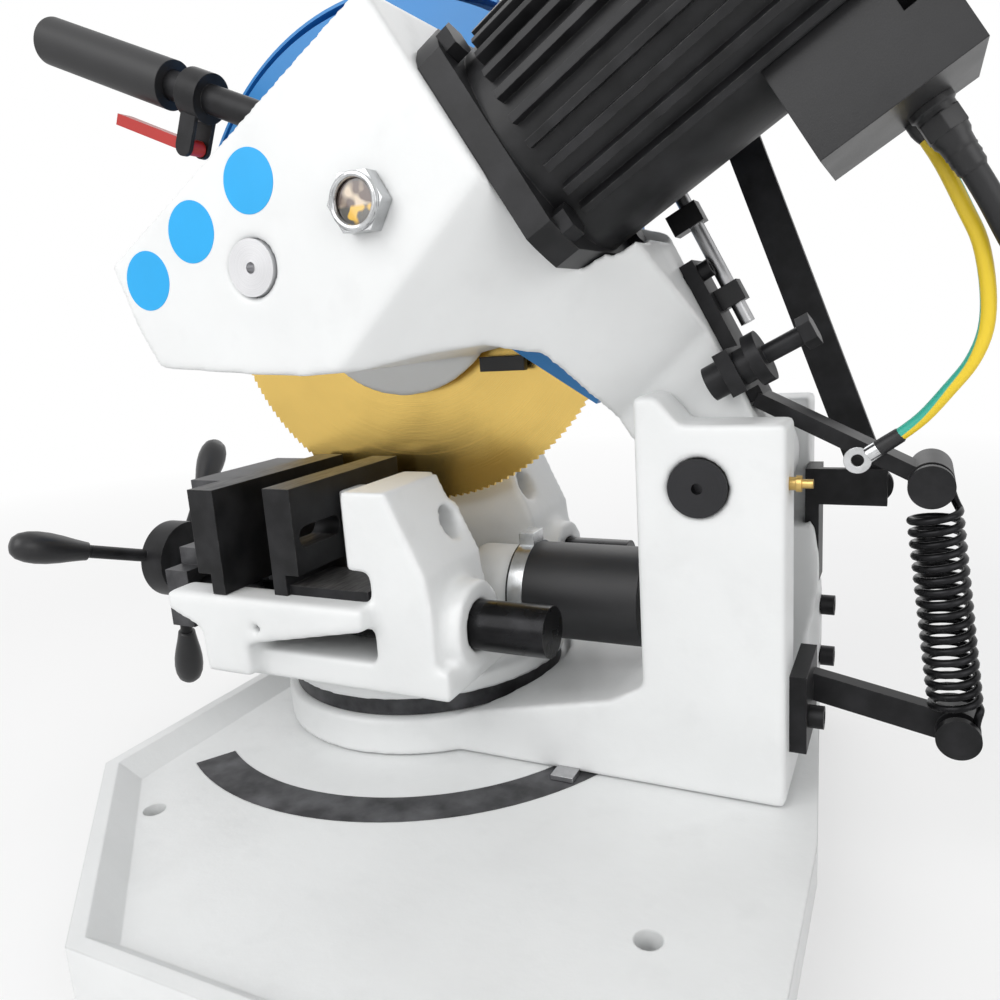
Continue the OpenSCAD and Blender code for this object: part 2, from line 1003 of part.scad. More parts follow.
module guide_bars() {
    color("dimgray")
        on_floor()
            for (y = [bar_near_y, bar_far_y])
                bar_x(bar_r, bar_front, bar_rear, y, bar_h);
}

module vise_screw() {
    color("silver")
        on_floor() {
            bar_x(screw_r, hub_front + hub_t, screw_rear, vise_y, bar_h);
            bar_x(collar_r, cross_front - gap - collar_t, cross_front - gap, vise_y, bar_h);
            bar_x(collar_r, cross_back + gap, cross_back + gap + collar_t, vise_y, bar_h);
        }
}

module at_spokes() {
    translate([hub_front + hub_t / 2, vise_y, bar_h])
        for (turn = [spoke_first:120:spoke_first + 240])
            rotate([turn, 0, 0])
                rotate([0, 0, dish])
                    rotate([-90, 0, 0])
                        children();
}

module handwheel() {
    color("black")
        on_floor() {
            bar_x(hub_r, hub_front, hub_front + hub_t, vise_y, bar_h);
            at_spokes()
                translate([0, 0, spoke_start])
                    cylinder(r = spoke_r, h = wheel_reach - grip_len - spoke_start);
        }
}

module handwheel_grips() {
    color("black")
        on_floor()
            at_spokes()
                translate([0, 0, wheel_reach - grip_len])
                    rotate_extrude($fn = soft)
                        polygon([for (s = grip_shares) [grip_r * s[0], grip_len * s[1]]]);
}

// Arm and column
module column_profile(y0, y1) {
    side_plate([[0, arm_lift], [0, ring_top], arm_foot, arm_mid, arm_rise, arm_knee,
        [column_front, arm_knee[1] + over], [column_front, column_horn], [column_front + horn_w,
            column_horn],
        [column_front + horn_w + notch_w, column_shoulder], [column_rear, column_shoulder],
        [column_rear, arm_lift]], y0, y1);
}

module swivel_arm() {
    color("whitesmoke")
        on_floor()
            difference() {
                union() {
                    translate([0, 0, arm_lift])
                        cylinder(r = ring_r, h = ring_h);
                    column_profile(-arm_half, arm_half);
                    difference() {
                        bar_y(rib_r, rib_near, slot_half + over, rib_x, rib_z);
                        block([-over, rib_near - over, -rib_r], [column_rear, arm_half,
                            rib_z + rib_r + over]);
                        block([0, rib_near - over, -rib_r], [tray_rear, arm_half, arm_lift]);
                        block([0, rib_near - over, rib_top], [tray_rear, arm_half, rib_z + rib_r + over]);
                    }
                    block([column_rear - over, rib_screw_y - rib_pad_half, rib_pad_low],
                        [rib_x + rib_r, rib_screw_y + rib_pad_half, rib_pad_high]);
                }
                translate([0, 0, -over])
                    cylinder(r = spigot_r + run_fit, h = ring_top + 2 * over);
                translate([0, 0, ring_top])
                    cylinder(r = vise_room_r, h = column_horn);
                block([column_front - over, -slot_half, web_top], [column_rear + over, slot_half,
                    column_horn + over]);
                block([column_front + web_t, -slot_half, pocket_floor], [tray_rear, rib_near,
                    web_top + over]);
                block([far_rear, slot_half, -over], [column_rear + over, arm_half + over, column_horn]);
                block([strip_front, link_arm_near - over, strip_low - gap],
                    [tray_rear, strip_far + gap, column_horn]);
                bar_y(pivot_r + run_fit, -arm_half - over, arm_half + over, pivot_x, pivot_z);
                bar_y(lock_r + run_fit, ring_r - lock_depth - over, ring_r + over, 0, lock_h);
                bar_x(nipple_r + gap, column_rear - nipple_len, column_rear + over, -arm_half + web_t,
                    pivot_z);
                for (z = rib_screw_zs)
                    bar_x(small_screw_r + gap, rib_x + rib_r - small_screw_bite - over, tray_rear,
                        rib_screw_y, z);
                bar_x(small_screw_r + gap, column_rear - small_screw_bite - over, column_rear + over,
                    low_screw_y, low_screw_z);
            }
}

module pivot_pin() {
    color("dimgray")
        on_floor()
            difference() {
                bar_y(pivot_r, -arm_half - pin_out, arm_half + pin_out, pivot_x, pivot_z);
                bar_y(drill_r, -arm_half - pin_out - over, -arm_half - pin_out + drill_depth, pivot_x,
                    pivot_z);
            }
}

module angle_pointer() {
    color("silver")
        on_floor()
            block([pointer_angle_x, -arm_half - pointer_len, arm_lift],
                [pointer_angle_x + pointer_w, -arm_half, arm_lift + pointer_t]);
}

module spring_pin(at, far) {
    difference() {
        bar_y(pin_r, pin_near, far, at[0], at[1]);
        ring_y(neck_r, pin_r + over, spring_y - neck_half, spring_y + neck_half, at[0], at[1]);
    }
}

module spring_bracket() {
    color("black")
        on_floor() {
            difference() {
                block([column_rear, low_plate_near, low_plate_bottom],
                    [column_rear + low_plate_t, low_plate_far, low_plate_top]);
                bar_x(small_screw_r + gap, column_rear - over, column_rear + low_plate_t + over,
                    low_screw_y, low_screw_z);
            }
            strut(low_arm_root, lower_pin, low_arm_w, lever_near, lever_near + low_arm_t);
            spring_pin(lower_pin, lower_pin_far);
        }
}

module bracket_screws() {
    color("black")
        on_floor() {
            translate([column_rear + low_plate_t, low_screw_y, low_screw_z])
                socket_screw(small_screw_r, small_screw_bite + low_plate_t);
            for (z = rib_screw_zs)
                translate([rib_x + rib_r, rib_screw_y, z])
                    socket_screw(small_screw_r, small_screw_bite);
        }
}

module link_bracket() {
    color("black")
        on_floor() {
            block([strip_front, link_arm_near, strip_low], [strip_front + strip_t, strip_far, strip_high]);
            block([strip_front, link_arm_near, link_arm_low],
                [link_arm_end, link_arm_near + link_arm_t, strip_high]);
            bar_y(link_pin_r, link_arm_near, link_near + link_t + gap, link_pin[0], link_pin[1]);
            bar_y(link_head_r, link_near + link_t + gap, link_near + 2 * link_t, link_pin[0], link_pin[1]);
        }
}

module grease_nipple() {
    color("goldenrod")
        on_floor() {
            bar_x(nipple_r, column_rear - nipple_len + over, column_rear + nipple_len / 2,
                -arm_half + web_t, pivot_z);
            bar_x(nipple_hex_r, column_rear + nipple_len / 4, column_rear + nipple_len / 2,
                -arm_half + web_t, pivot_z);
            bar_x(nipple_tip_r, column_rear, column_rear + nipple_len, -arm_half + web_t, pivot_z);
        }
}

// Return spring: a hook round each pin and curls between them
spring_base = [lower_pin[0], spring_y, lower_pin[1]];
spring_tip = [upper_pin[0], spring_y, upper_pin[1]];
spring_axis = unit(spring_tip - spring_base);
spring_side = [0, 1, 0];
spring_front = cross(spring_side, spring_axis);
spring_span = norm(spring_tip - spring_base);
curl_r = (spring_d - wire_d) / 2;
hook_gap = 0.5;
hook_r = neck_r + wire_d / 2 + hook_gap;
hook_sweep = 200;
curl_start = 14.5;
curl_pitch = (spring_span - 2 * curl_start) / curls;
curl_rings = 8;
hook_rings = 8;
join_rings = 5;
join_run = 8;
join_sway = 6;
wire_sides = 6;
function spring_at(out, side, along) = spring_base + out * spring_front + side * spring_side
    + along * spring_axis;
function curl_point(s) = spring_at(curl_r * cos(360 * s), curl_r * sin(360 * s),
    curl_start + curl_pitch * s);
function low_hook(turn) = spring_at(hook_r * cos(turn), 0, -hook_r * sin(turn));
function high_hook(turn) = spring_at(hook_r * cos(turn), 0, spring_span + hook_r * sin(turn));
low_run = [for (k = [0:hook_rings]) low_hook(hook_sweep - hook_sweep * k / hook_rings)];
low_join = [for (k = [1:join_rings]) curve(low_hook(0), low_hook(0) + join_run * spring_axis,
    curl_point(0) - join_sway * spring_side, curl_point(0), k / join_rings)];
curl_run = [for (k = [1:curls * curl_rings]) curl_point(k / curl_rings)];
high_join = [for (k = [1:join_rings]) curve(curl_point(curls), curl_point(curls) + join_sway * spring_side,
    high_hook(0) - join_run * spring_axis, high_hook(0), k / join_rings)];
high_run = [for (k = [1:hook_rings]) high_hook(hook_sweep * k / hook_rings)];
spring_points = concat(low_run, low_join, curl_run, high_join, high_run);
function least_gap(p, d, apart) = min([for (i = [0:len(p) - 1 - apart], j = [i + apart:len(p) - 1])
    norm(p[i] - p[j])]) - d;
echo(spring_gap = least_gap(spring_points, wire_d, 6));

module return_spring() {
    color("black")
        on_floor()
            tube(spring_points, wire_d / 2, wire_sides, spring_side);
}

module swivel_lock() {
    color("black")
        on_floor() {
            bar_y(lock_r, ring_r - lock_depth, ring_r + lock_hub_len, 0, lock_h);
            bar_y(lock_hub_r, ring_r + gap, ring_r + lock_hub_len, 0, lock_h);
            translate([0, ring_r + lock_hub_len / 2, lock_h])
                rotate([0, lock_lift - 90, 0]) {
                    cylinder(r = lock_bar_r, h = lock_bar_len);
                    translate([0, 0, lock_bar_len])
                        sphere(r = lock_ball_r, $fn = soft);
                }
        }
}

// Head casting
module head_casting() {
    color("whitesmoke")
        on_floor()
            difference() {
                union() {
                    difference() {
                        union() {
                            side_plate(head_points(case_shares), case_near, case_far);
                            side_plate(head_points(neck_shares), case_near, case_far);
                        }
                        translate([facet_x, case_near, facet_z])
                            rotate([0, facet_turn, 0])
                                rotate([0, 0, facet_slope])
                                    block([-case_reach, -3 * case_reach, -3 * case_reach],
                                        [4 * case_reach, 0, 3 * case_reach]);
                    }
                    side_plate(head_points(neck_shares), neck_near, case_far);
                    side_plate(head_points(root_shares), neck_near, -neck_near);
                    bar_y(barrel_r, neck_near, -neck_near, pivot_x, pivot_z);
                    bar_y(spindle_boss_r, case_far - over, spindle_boss_far, head_x, head_z);
                }
                bar_y(pivot_r + run_fit, neck_near - over, over - neck_near, pivot_x, pivot_z);
                bar_y(wheel_room_r, gear_room_near, gear_room_far, head_x, head_z);
                bar_y(cap_r + gap, case_near - over, gear_room_near + over, head_x, head_z);
                bar_y(near_bearing[2] + run_fit, near_bearing[0], gear_room_near + over, head_x, head_z);
                bar_y(far_bearing[2] + run_fit, gear_room_far - over, far_bearing[1], head_x, head_z);
                bar_y(clamp_r + clamp_room, far_bearing[1] - over, over, head_x, head_z);
                motor_frame() {
                    bar_x(worm_room_r, worm_front, motor_face + over, 0, 0);
                    motor_clearance();
                }
                translate([sight_x, 0, sight_z])
                    bar_y(sight_lens_r + gap, case_near - over, case_near + sight_deep, 0, 0);
                handle_frame()
                    bar_x(handle_r + run_fit, -handle_sunk - over, handle_len, 0, 0);
                back_frame() {
                    bar_x(back_screw_r + gap, -small_screw_bite - over, over, back_screw_y, back_screw_high);
                }
                motor_frame()
                    at_motor_bolts()
                        bar_x(motor_bolt_r + gap, motor_face - motor_bolt_bite - over, motor_face + over,
                            0, 0);
            }
}

module motor_clearance() {
    half = flange_side / 2 + gap;
    block([motor_face, -half, -half], [motor_face + 3 * motor_flange_t, half, half]);
    bar_x(motor_r + gap, motor_face + motor_flange_t, motor_face + motor_len, 0, 0);
}

module at_motor_bolts() {
    for (sy = [-1, 1], sz = [-1, 1])
        translate([0, sy * motor_bolt_reach, sz * motor_bolt_reach])
            children();
}

module spindle_bearings() {
    color("silver")
        on_floor() {
            ring_y(cap_r + run_fit, near_bearing[2], near_bearing[0], near_bearing[1], head_x, head_z);
            ring_y(journal_r + run_fit, far_bearing[2], far_bearing[0], far_bearing[1], head_x, head_z);
        }
}

module sight_ring() {
    color("silver")
        on_floor()
            translate([sight_x, case_near, sight_z])
                rotate([90, 0, 0])
                    difference() {
                        cylinder(r = sight_hex_r, h = sight_out, $fn = 6);
                        translate([0, 0, -over])
                            cylinder(r = sight_lens_r + gap, h = sight_out + 2 * over);
                    }
}

module sight_lens() {
    color("khaki")
        on_floor()
            bar_y(sight_lens_r, case_near - sight_out + over, case_near + sight_deep, sight_x, sight_z);
}

// Motor
module motor_housing() {
    half = flange_side / 2;
    rear = motor_face + motor_flange_t + motor_len;
    color("dimgray")
        on_floor()
            motor_frame()
                difference() {
                    union() {
                        intersection() {
                            block([motor_face, -half, -half], [motor_face + motor_flange_t, half, half]);
                            bar_x(motor_flange_round, motor_face, motor_face + motor_flange_t, 0, 0);
                        }
                        bar_x(motor_core_r, motor_face, rear, 0, 0);
                        for (turn = [bare_sector:(360 - 2 * bare_sector) / rib_count:360 - bare_sector])
                            rotate([turn, 0, 0])
                                block([motor_face + motor_flange_t + cooling_rib_start,
                                    -cooling_rib_t / 2, -motor_r],
                                    [rear - step_in, cooling_rib_t / 2, -motor_core_r + over]);
                    }
                    bar_x(motor_core_r - motor_wall, motor_face + motor_flange_t, rear + over, 0, 0);
                    bar_x(motor_shaft_r + gap, motor_face - over, rear, 0, 0);
                    at_motor_bolts()
                        bar_x(motor_bolt_r + gap, motor_face - over, motor_face + motor_flange_t + over,
                            0, 0);
                }
}

module motor_bolts() {
    color("silver")
        on_floor()
            motor_frame()
                for (sy = [-1, 1], sz = [-1, 1])
                    translate([motor_face + motor_flange_t, sy * motor_bolt_reach, sz * motor_bolt_reach])
                        hex_bolt(motor_bolt_r, motor_flange_t + (sy + sz < 0 ? 0 : motor_bolt_bite));
}

module fan_cowl() {
    front = motor_face + motor_flange_t + motor_len;
    color("black")
        on_floor()
            motor_frame()
                difference() {
                    bar_x(motor_r, front, front + cowl_len, 0, 0);
                    bar_x(motor_r - cowl_wall, front - over, front + cowl_len - cowl_wall, 0, 0);
                    for (turn = [0:360 / vent_count:359])
                        rotate([turn, 0, 0])
                            block([front, -vent_w / 2, vent_in], [front + cowl_len + over, vent_w / 2,
                                vent_out]);
                }
}

module terminal_box() {
    color("dimgray")
        on_floor()
            difference() {
                case_frame()
                    block([box_front, worm_y - box_half, box_bottom],
                        [box_rear - gap, worm_y + box_half, -worm_drop - motor_core_r / 2]);
                motor_frame()
                    bar_x(motor_core_r + run_fit, 0, 4 * case_reach, 0, 0);
                case_frame()
                    block([motor_face + motor_flange_t + motor_len, worm_y - case_reach,
                        -worm_drop - motor_r - gap],
                        [4 * case_reach, worm_y + case_reach, 0]);
            }
}

module cable_gland() {
    color("black")
        on_floor()
            case_frame() {
                translate([gland_a, gland_y, box_bottom - gland_len])
                    cylinder(r = gland_r, h = gland_len);
                translate([lead_exit_a, lead_exit_y, box_bottom - lead_gland_len])
                    cylinder(r = lead_gland_r, h = lead_gland_len);
            }
}

// Guards
module blade_guard() {
    guard_w = guard_far - case_far;
    rim_in = guard_rim_r - guard_rim_t;
    web_in = (guard_hub_in + guard_hub_r) / 2;
    color("royalblue")
        on_floor()
            difference() {
                union() {
                    translate([head_x, guard_far, head_z])
                        rotate([90, 0, 0])
                            rotate([0, 0, guard_start])
                                rotate_extrude(angle = guard_end - guard_start)
                                    polygon([[web_in, 0], [guard_rim_r, 0], [guard_rim_r, guard_w],
                                        [near_plate_in, guard_w], [near_plate_in, guard_w - near_plate_t],
                                        [rim_in, guard_w - near_plate_t], [rim_in, near_plate_t],
                                        [web_in, near_plate_t]]);
                    bar_y(guard_hub_r, guard_far - near_plate_t - step_in, guard_hub_far, head_x, head_z);
                }
                bar_y(guard_hub_in, 0, guard_hub_far + over, head_x, head_z);
            }
}

module guard_slider() {
    color("black")
        on_floor()
            block([slider_x, case_far + near_plate_t, slider_z],
                [slider_x + slider_len, slider_far, slider_z + slider_h]);
}

guard_pin_at = link_pin + link_len * link_lean;

module moving_guard() {
    start = [head_x, head_z] + (guard_hub_r + lug_w / 2) * unit(guard_pin_at - [head_x, head_z]);
    color("royalblue")
        on_floor()
            difference() {
                union() {
                    sector_y(guard_hub_r - over, moving_rim_r + moving_rim_t, moving_from, moving_to,
                        moving_far - moving_sheet, moving_far);
                    sector_y(moving_rim_r, moving_rim_r + moving_rim_t, moving_from, moving_to,
                        moving_near, moving_far);
                    bar_y(guard_hub_r + lug_w, moving_far - moving_sheet, moving_far, head_x, head_z);
                    strut(start, guard_pin_at, lug_w, moving_far - moving_sheet, moving_far + lug_t);
                    bar_y(lug_end_r, moving_far - moving_sheet + step_in, moving_far + lug_t - step_in,
                        guard_pin_at[0], guard_pin_at[1]);
                    bar_y(link_pin_r, moving_far, guard_pin_far, guard_pin_at[0], guard_pin_at[1]);
                }
                bar_y(guard_hub_r + run_fit, 0, guard_pin_far, head_x, head_z);
            }
}

module guard_link() {
    color("black")
        on_floor()
            difference() {
                union() {
                    strut(link_pin, guard_pin_at, link_w, link_near, link_near + link_t);
                    bar_y(link_end_r, link_near + step_in, link_near + link_t - step_in, link_pin[0],
                        link_pin[1]);
                    bar_y(link_eye_r + link_eye_wall, link_near + step_in, link_near + link_t - step_in,
                        guard_pin_at[0], guard_pin_at[1]);
                }
                bar_y(link_pin_r + run_fit, link_near - over, link_near + link_t + over, link_pin[0],
                    link_pin[1]);
                bar_y(link_eye_r, link_near - over, link_near + link_t + over, guard_pin_at[0],
                    guard_pin_at[1]);
            }
}

// Fittings on the back of the neck
module spring_lever() {
    color("black")
        on_floor() {
            back_frame()
                difference() {
                    union() {
                        block([0, back_near, back_plate_low], [back_plate_t, back_far, back_plate_high]);
                        block([0, stop_y - stop_lug_half, stop_high - stop_lug_half],
                            [back_plate_t, back_near + over, stop_high + stop_lug_half]);
                    }
                    bar_x(back_screw_r + gap, -over, back_plate_t + over, back_screw_y, back_screw_high);
                    bar_x(stop_r + run_fit, -over, back_plate_t + over, stop_y, stop_high);
                }
            strut(lever_root, upper_pin, lever_t, lever_near, lever_far);
            spring_pin(upper_pin, upper_pin_far);
        }
}

module lever_screw() {
    color("black")
        on_floor()
            back_frame()
                translate([back_plate_t, back_screw_y, back_screw_high])
                    socket_screw(back_screw_r, back_plate_t + small_screw_bite);
}

module stop_boss() {
    color("black")
        on_floor()
            back_frame()
                difference() {
                    bar_x(stop_r, stop_start, stop_len, stop_y, stop_high);
                    bar_x(stop_bolt_r + gap, stop_start + 2 * over, stop_len + over, stop_y, stop_high);
                }
}

module stop_bolt() {
    color("black")
        on_floor()
            back_frame()
                translate([0, stop_y, stop_high]) {
                    bar_x(stop_bolt_r, stop_start + 3 * over, stop_bolt_len, 0, 0);
                    bar_x(stop_collar_r, stop_len, stop_len + stop_nut_t, 0, 0);
                    translate([stop_bolt_len, 0, 0])
                        rotate([0, 90, 0])
                            cylinder(r = stop_bolt_r * hex_share, h = stop_nut_t, $fn = 6);
                }
}

module tie_rod() {
    color("silver")
        on_floor()
            back_frame() {
                translate([rod_out, rod_y, rod_low])
                    cylinder(r = rod_r, h = rod_high - rod_low);
                for (z = rod_block_highs)
                    block([z == rod_block_highs[0] ? back_plate_t : rod_r, rod_y - rod_block / 2,
                        z - rod_block_t / 2], [rod_out + rod_block / 2, rod_y + rod_block / 2,
                        z + rod_block_t / 2]);
            }
}

// Operating handle
module handle_frame() {
    translate([handle_at[0], handle_y, handle_at[1]])
        rotate([0, 180 + handle_lean, 0])
            children();
}

module handle_lever() {
    color("dimgray")
        on_floor()
            handle_frame() {
                bar_x(handle_r, -handle_sunk, handle_len - handle_end, 0, 0);
                bar_x(ring_out_r, ring_at - ring_w / 2, ring_at + ring_w / 2, 0, 0);
                for (side = [-1, 1]) {
                    block([ring_at - ear_r, side > 0 ? ear_inner : -ear_inner - ear_t, 0],
                        [ring_at + ear_r, side > 0 ? ear_inner + ear_t : -ear_inner, ear_drop]);
                    bar_y(ear_r, side > 0 ? ear_inner : -ear_inner - ear_t,
                        side > 0 ? ear_inner + ear_t : -ear_inner, ring_at, ear_drop);
                }
                bar_y(trigger_pin_r, -ear_inner - ear_t, ear_inner + ear_t, ring_at, ear_drop);
            }
}

module handle_grip() {
    color("black")
        on_floor()
            handle_frame()
                difference() {
                    bar_x(handle_grip_r, handle_len - handle_grip_len, handle_len, 0, 0);
                    bar_x(handle_r + run_fit, 0, handle_len - handle_end, 0, 0);
                }
}

module trigger() {
    color("red")
        on_floor()
            handle_frame()
                difference() {
                    union() {
                        bar_y(ear_r - over, -trigger_half, trigger_half, ring_at, ear_drop);
                        block([ring_at, -trigger_half, ear_drop - trigger_t / 2],
                            [ring_at + trigger_len, trigger_half, ear_drop + trigger_t / 2]);
                    }
                    bar_y(trigger_pin_r + run_fit, -trigger_half - over, trigger_half + over, ring_at,
                        ear_drop);
                }
}

// Spindle and drive
module spindle() {
    color("silver")
        on_floor()
            difference() {
                union() {
                    bar_y(cap_r, case_near - cap_out, seat_near, head_x, head_z);
                    bar_y(seat_r, seat_near, seat_far, head_x, head_z);
                    bar_y(journal_r, seat_far, clamp_near, head_x, head_z);
                    bar_y(clamp_r, clamp_near, -blade_t / 2, head_x, head_z);
                    bar_y(nose_r, -blade_t / 2, nose_far, head_x, head_z);
                }
                bar_y(drill_r, case_near - cap_out - over, case_near - cap_out + drill_depth, head_x,
                    head_z);
            }
}

module worm_wheel() {
    color("goldenrod")
        on_floor()
            translate([head_x, worm_y + wheel_t / 2, head_z])
                rotate([0, -motor_tilt, 0])
                    rotate([90, 0, 0])
                        difference() {
                            linear_extrude(wheel_t)
                                polygon([for (k = [0:wheel_teeth * wheel_steps - 1])
                                    let (turn = 360 * k / (wheel_teeth * wheel_steps))
                                    (wheel_mean_r + wheel_wave * cos(wheel_teeth * turn)) * [cos(turn),
                                        sin(turn)]]);
                            translate([0, 0, -over])
                                cylinder(r = seat_r + run_fit, h = wheel_t + 2 * over);
                        }
}

module saw_blade() {
    color("gold")
        on_floor()
            difference() {
                translate([head_x, blade_t / 2, head_z])
                    rotate([90, 0, 0])
                        linear_extrude(blade_t)
                            polygon([for (k = [0:blade_teeth - 1], side = [0, 1])
                                let (turn = 360 * (k + tooth_lead * side) / blade_teeth)
                                (blade_r - tooth_depth * side) * [cos(turn), sin(turn)]]);
                bar_y(nose_r + run_fit, -blade_t, blade_t, head_x, head_z);
            }
}

module blade_clamp() {
    color("dimgray")
        on_floor() {
            difference() {
                bar_y(clamp_r, blade_t / 2, clamp_cap_far, head_x, head_z);
                bar_y(nose_r + run_fit, 0, nose_far, head_x, head_z);
            }
            translate([head_x, bolt_hex_far, head_z])
                rotate([90, 0, 0])
                    cylinder(r = bolt_hex_r, h = bolt_hex_far - clamp_cap_far, $fn = 6);
        }
}

module worm_shaft() {
    front = motor_face + motor_flange_t;
    color("silver")
        on_floor()
            motor_frame() {
                translate([-worm_half, 0, 0])
                    rotate([0, 90, 0])
                        linear_extrude(2 * worm_half, twist = -360 * worm_turns,
                            slices = worm_turns * worm_slices)
                            translate([worm_throw, 0])
                                circle(r = worm_mean_r, $fn = worm_sides);
                bar_x(motor_shaft_r, worm_front + over, front + motor_len + cowl_len - 3 * cowl_wall, 0, 0);
                bar_x(rotor_r, front + rotor_inset, front + motor_len - rotor_inset, 0, 0);
            }
}

module cooling_fan() {
    front = motor_face + motor_flange_t + motor_len + cowl_wall;
    color("dimgray")
        on_floor()
            motor_frame()
                difference() {
                    union() {
                        bar_x(fan_hub_r, front, front + fan_t, 0, 0);
                        for (turn = [0:360 / fan_blades:359])
                            rotate([turn, 0, 0])
                                block([front + step_in, -fan_blade_t / 2, 0],
                                    [front + fan_t - step_in, fan_blade_t / 2, fan_r]);
                    }
                    bar_x(motor_shaft_r + run_fit, front - over, front + fan_t + over, 0, 0);
                }
}

// Cords
function case_point(a, y, b) = [head_x + a * cos(motor_tilt) - b * sin(motor_tilt), y,
    head_z + a * sin(motor_tilt) + b * cos(motor_tilt)];
function out_of_box(a, y, start, run) = [case_point(a, y, box_bottom - start),
    case_point(a, y, box_bottom - start - run)];
cable_start = out_of_box(gland_a, gland_y, gland_len + run_fit, cable_d);
lead_start = out_of_box(lead_exit_a, lead_exit_y, lead_gland_len, lead_d);
function coil_share(t) = t < coil_turns ? t : 2 * coil_turns - t;
function coil_rise(t) = min(1, max(0, (t - coil_turns) / climb_turns + 1 / 2));
function coil_point(t) = [coil_mid[0] + (coil_r - coil_step * coil_share(t)) * cos(180 - 360 * t),
    coil_mid[1] + (coil_r - coil_step * coil_share(t)) * sin(180 - 360 * t),
        cable_rest + coil_step * coil_rise(t)];
plug_rest = plug_r + gap - floor_h;
coil_end = coil_point(2 * coil_turns);
coil_tail = [for (k = [1:tail_rings]) coil_end + [0, -tail_len * k / tail_rings,
    (plug_rest - coil_end[2]) * min(1, k / (tail_rings - 1))]];
coil_start = coil_point(0) - [0, join_len, 0];
coil_route = concat([coil_start], [for (k = [0:2 * coil_turns * coil_rings]) coil_point(k / coil_rings)],
    coil_tail);
cable_run = concat([cable_start[1]], cable_points, [coil_start - [0, join_len, 0]]);
cable_route = concat([cable_start[0]], smoothed(cable_run, 2), [coil_start]);
lead_last = len(lead_points) - 1;
lead_run = concat([lead_start[1]], [for (i = [0:lead_last - 1]) lead_points[i]]);
lead_route = concat([lead_start[0]], smoothed(lead_run, 2), [lead_points[lead_last]]);
echo(cable_length = reach(cable_route) + reach(coil_route), lead_length = reach(lead_route));

module supply_cable() {
    color("black")
        on_floor()
            tube(cable_route, cable_d / 2, cable_sides, [0, 1, 0]);
}

module cable_coil() {
    color("black")
        on_floor()
            tube(coil_route, cable_d / 2, coil_sides, [0, 0, 1]);
}

module supply_plug() {
    end = coil_route[len(coil_route) - 1];
    color("black")
        on_floor()
            translate(end)
                rotate([90, 0, 0]) {
                    cylinder(r = cable_d * boot_share, h = plug_boot + over);
                    translate([0, 0, plug_boot])
                        cylinder(r = plug_r, h = plug_len);
                }
}

module earth_lead() {
    color("yellowgreen")
        on_floor()
            tube(lead_route, lead_d / 2, cable_sides, [0, 1, 0]);
}

module earth_lug() {
    end = lead_route[len(lead_route) - 1];
    toward = unit([end[0] - lug_at[0], end[2] - lug_at[1]]);
    color("silver")
        on_floor() {
            difference() {
                union() {
                    bar_y(lug_r, lever_near - lug_plate_t, lever_near, lug_at[0], lug_at[1]);
                    strut(lug_at, lug_at + toward * lug_neck, lug_r, lever_near - lug_plate_t, lever_near);
                    translate(end)
                        rotate([0, -atan2(toward[1], toward[0]), 0])
                            bar_x(lug_barrel_r, -lug_barrel_len, 0, 0, 0);
                }
                bar_y(lug_hole_r, lever_near - lug_plate_t - over, lever_near + over, lug_at[0], lug_at[1]);
            }
        }
}

base_casting();
mounting_feet();
scale_band();
swivel_post();
vise_body();
vise_bolts();
fixed_jaw_near();
fixed_jaw_far();
fixed_jaw_screws();
vise_nut();
screw_hose();
hose_clamp();
jaw_carriage();
moving_jaw();
moving_jaw_screws();
guide_bars();
vise_screw();
handwheel();
handwheel_grips();
swivel_arm();
pivot_pin();
angle_pointer();
spring_bracket();
bracket_screws();
link_bracket();
grease_nipple();
return_spring();
swivel_lock();
head_casting();
spindle_bearings();
sight_ring();
sight_lens();
motor_housing();
motor_bolts();
fan_cowl();
terminal_box();
cable_gland();
blade_guard();
guard_slider();
spring_lever();
lever_screw();
stop_boss();
stop_bolt();
tie_rod();
handle_lever();
handle_grip();
trigger();
spindle();
worm_wheel();
saw_blade();
blade_clamp();
worm_shaft();
cooling_fan();
moving_guard();
guard_link();
earth_lead();
earth_lug();
supply_cable();
cable_coil();
supply_plug();
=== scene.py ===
"""Looks of a cold saw: finishes, cords, spring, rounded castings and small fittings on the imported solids."""
import math

import bmesh
import bpy
from mathutils import Matrix, Vector


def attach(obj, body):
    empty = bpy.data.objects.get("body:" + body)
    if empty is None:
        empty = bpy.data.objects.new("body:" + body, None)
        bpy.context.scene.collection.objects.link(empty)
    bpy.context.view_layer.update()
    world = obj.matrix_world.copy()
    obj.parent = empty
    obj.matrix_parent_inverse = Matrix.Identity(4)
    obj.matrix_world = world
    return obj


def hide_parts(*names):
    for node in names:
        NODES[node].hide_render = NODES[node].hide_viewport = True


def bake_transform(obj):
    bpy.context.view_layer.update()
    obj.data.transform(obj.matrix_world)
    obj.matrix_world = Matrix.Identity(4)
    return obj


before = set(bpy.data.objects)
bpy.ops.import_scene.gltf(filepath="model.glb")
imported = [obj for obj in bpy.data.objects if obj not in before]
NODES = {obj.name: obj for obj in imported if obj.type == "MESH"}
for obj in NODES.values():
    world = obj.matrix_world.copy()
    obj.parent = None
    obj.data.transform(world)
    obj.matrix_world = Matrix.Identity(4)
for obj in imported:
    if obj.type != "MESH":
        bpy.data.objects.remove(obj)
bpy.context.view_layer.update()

bl_info = {
    "name": "Cold saw looks",
    "version": (1, 0, 0),
    "blender": (4, 5, 0),
    "location": "View3D > Sidebar > Saw",
    "description": "Finishes, cords and fittings of a swivelling cold saw",
    "category": "Object",
}

# Places on the saw are in millimetres above the tray floor: (x, z) of the side view, or (x, y, z).
MM = 0.001
FLOOR = 60
HEAD = (5, 305)
PIVOT = (222, 177)
SIGHT = (80, 329)
CASE_NEAR = -150
MOTOR_TILT = math.radians(31.6)
NEARWARD = (0, -1, 0)

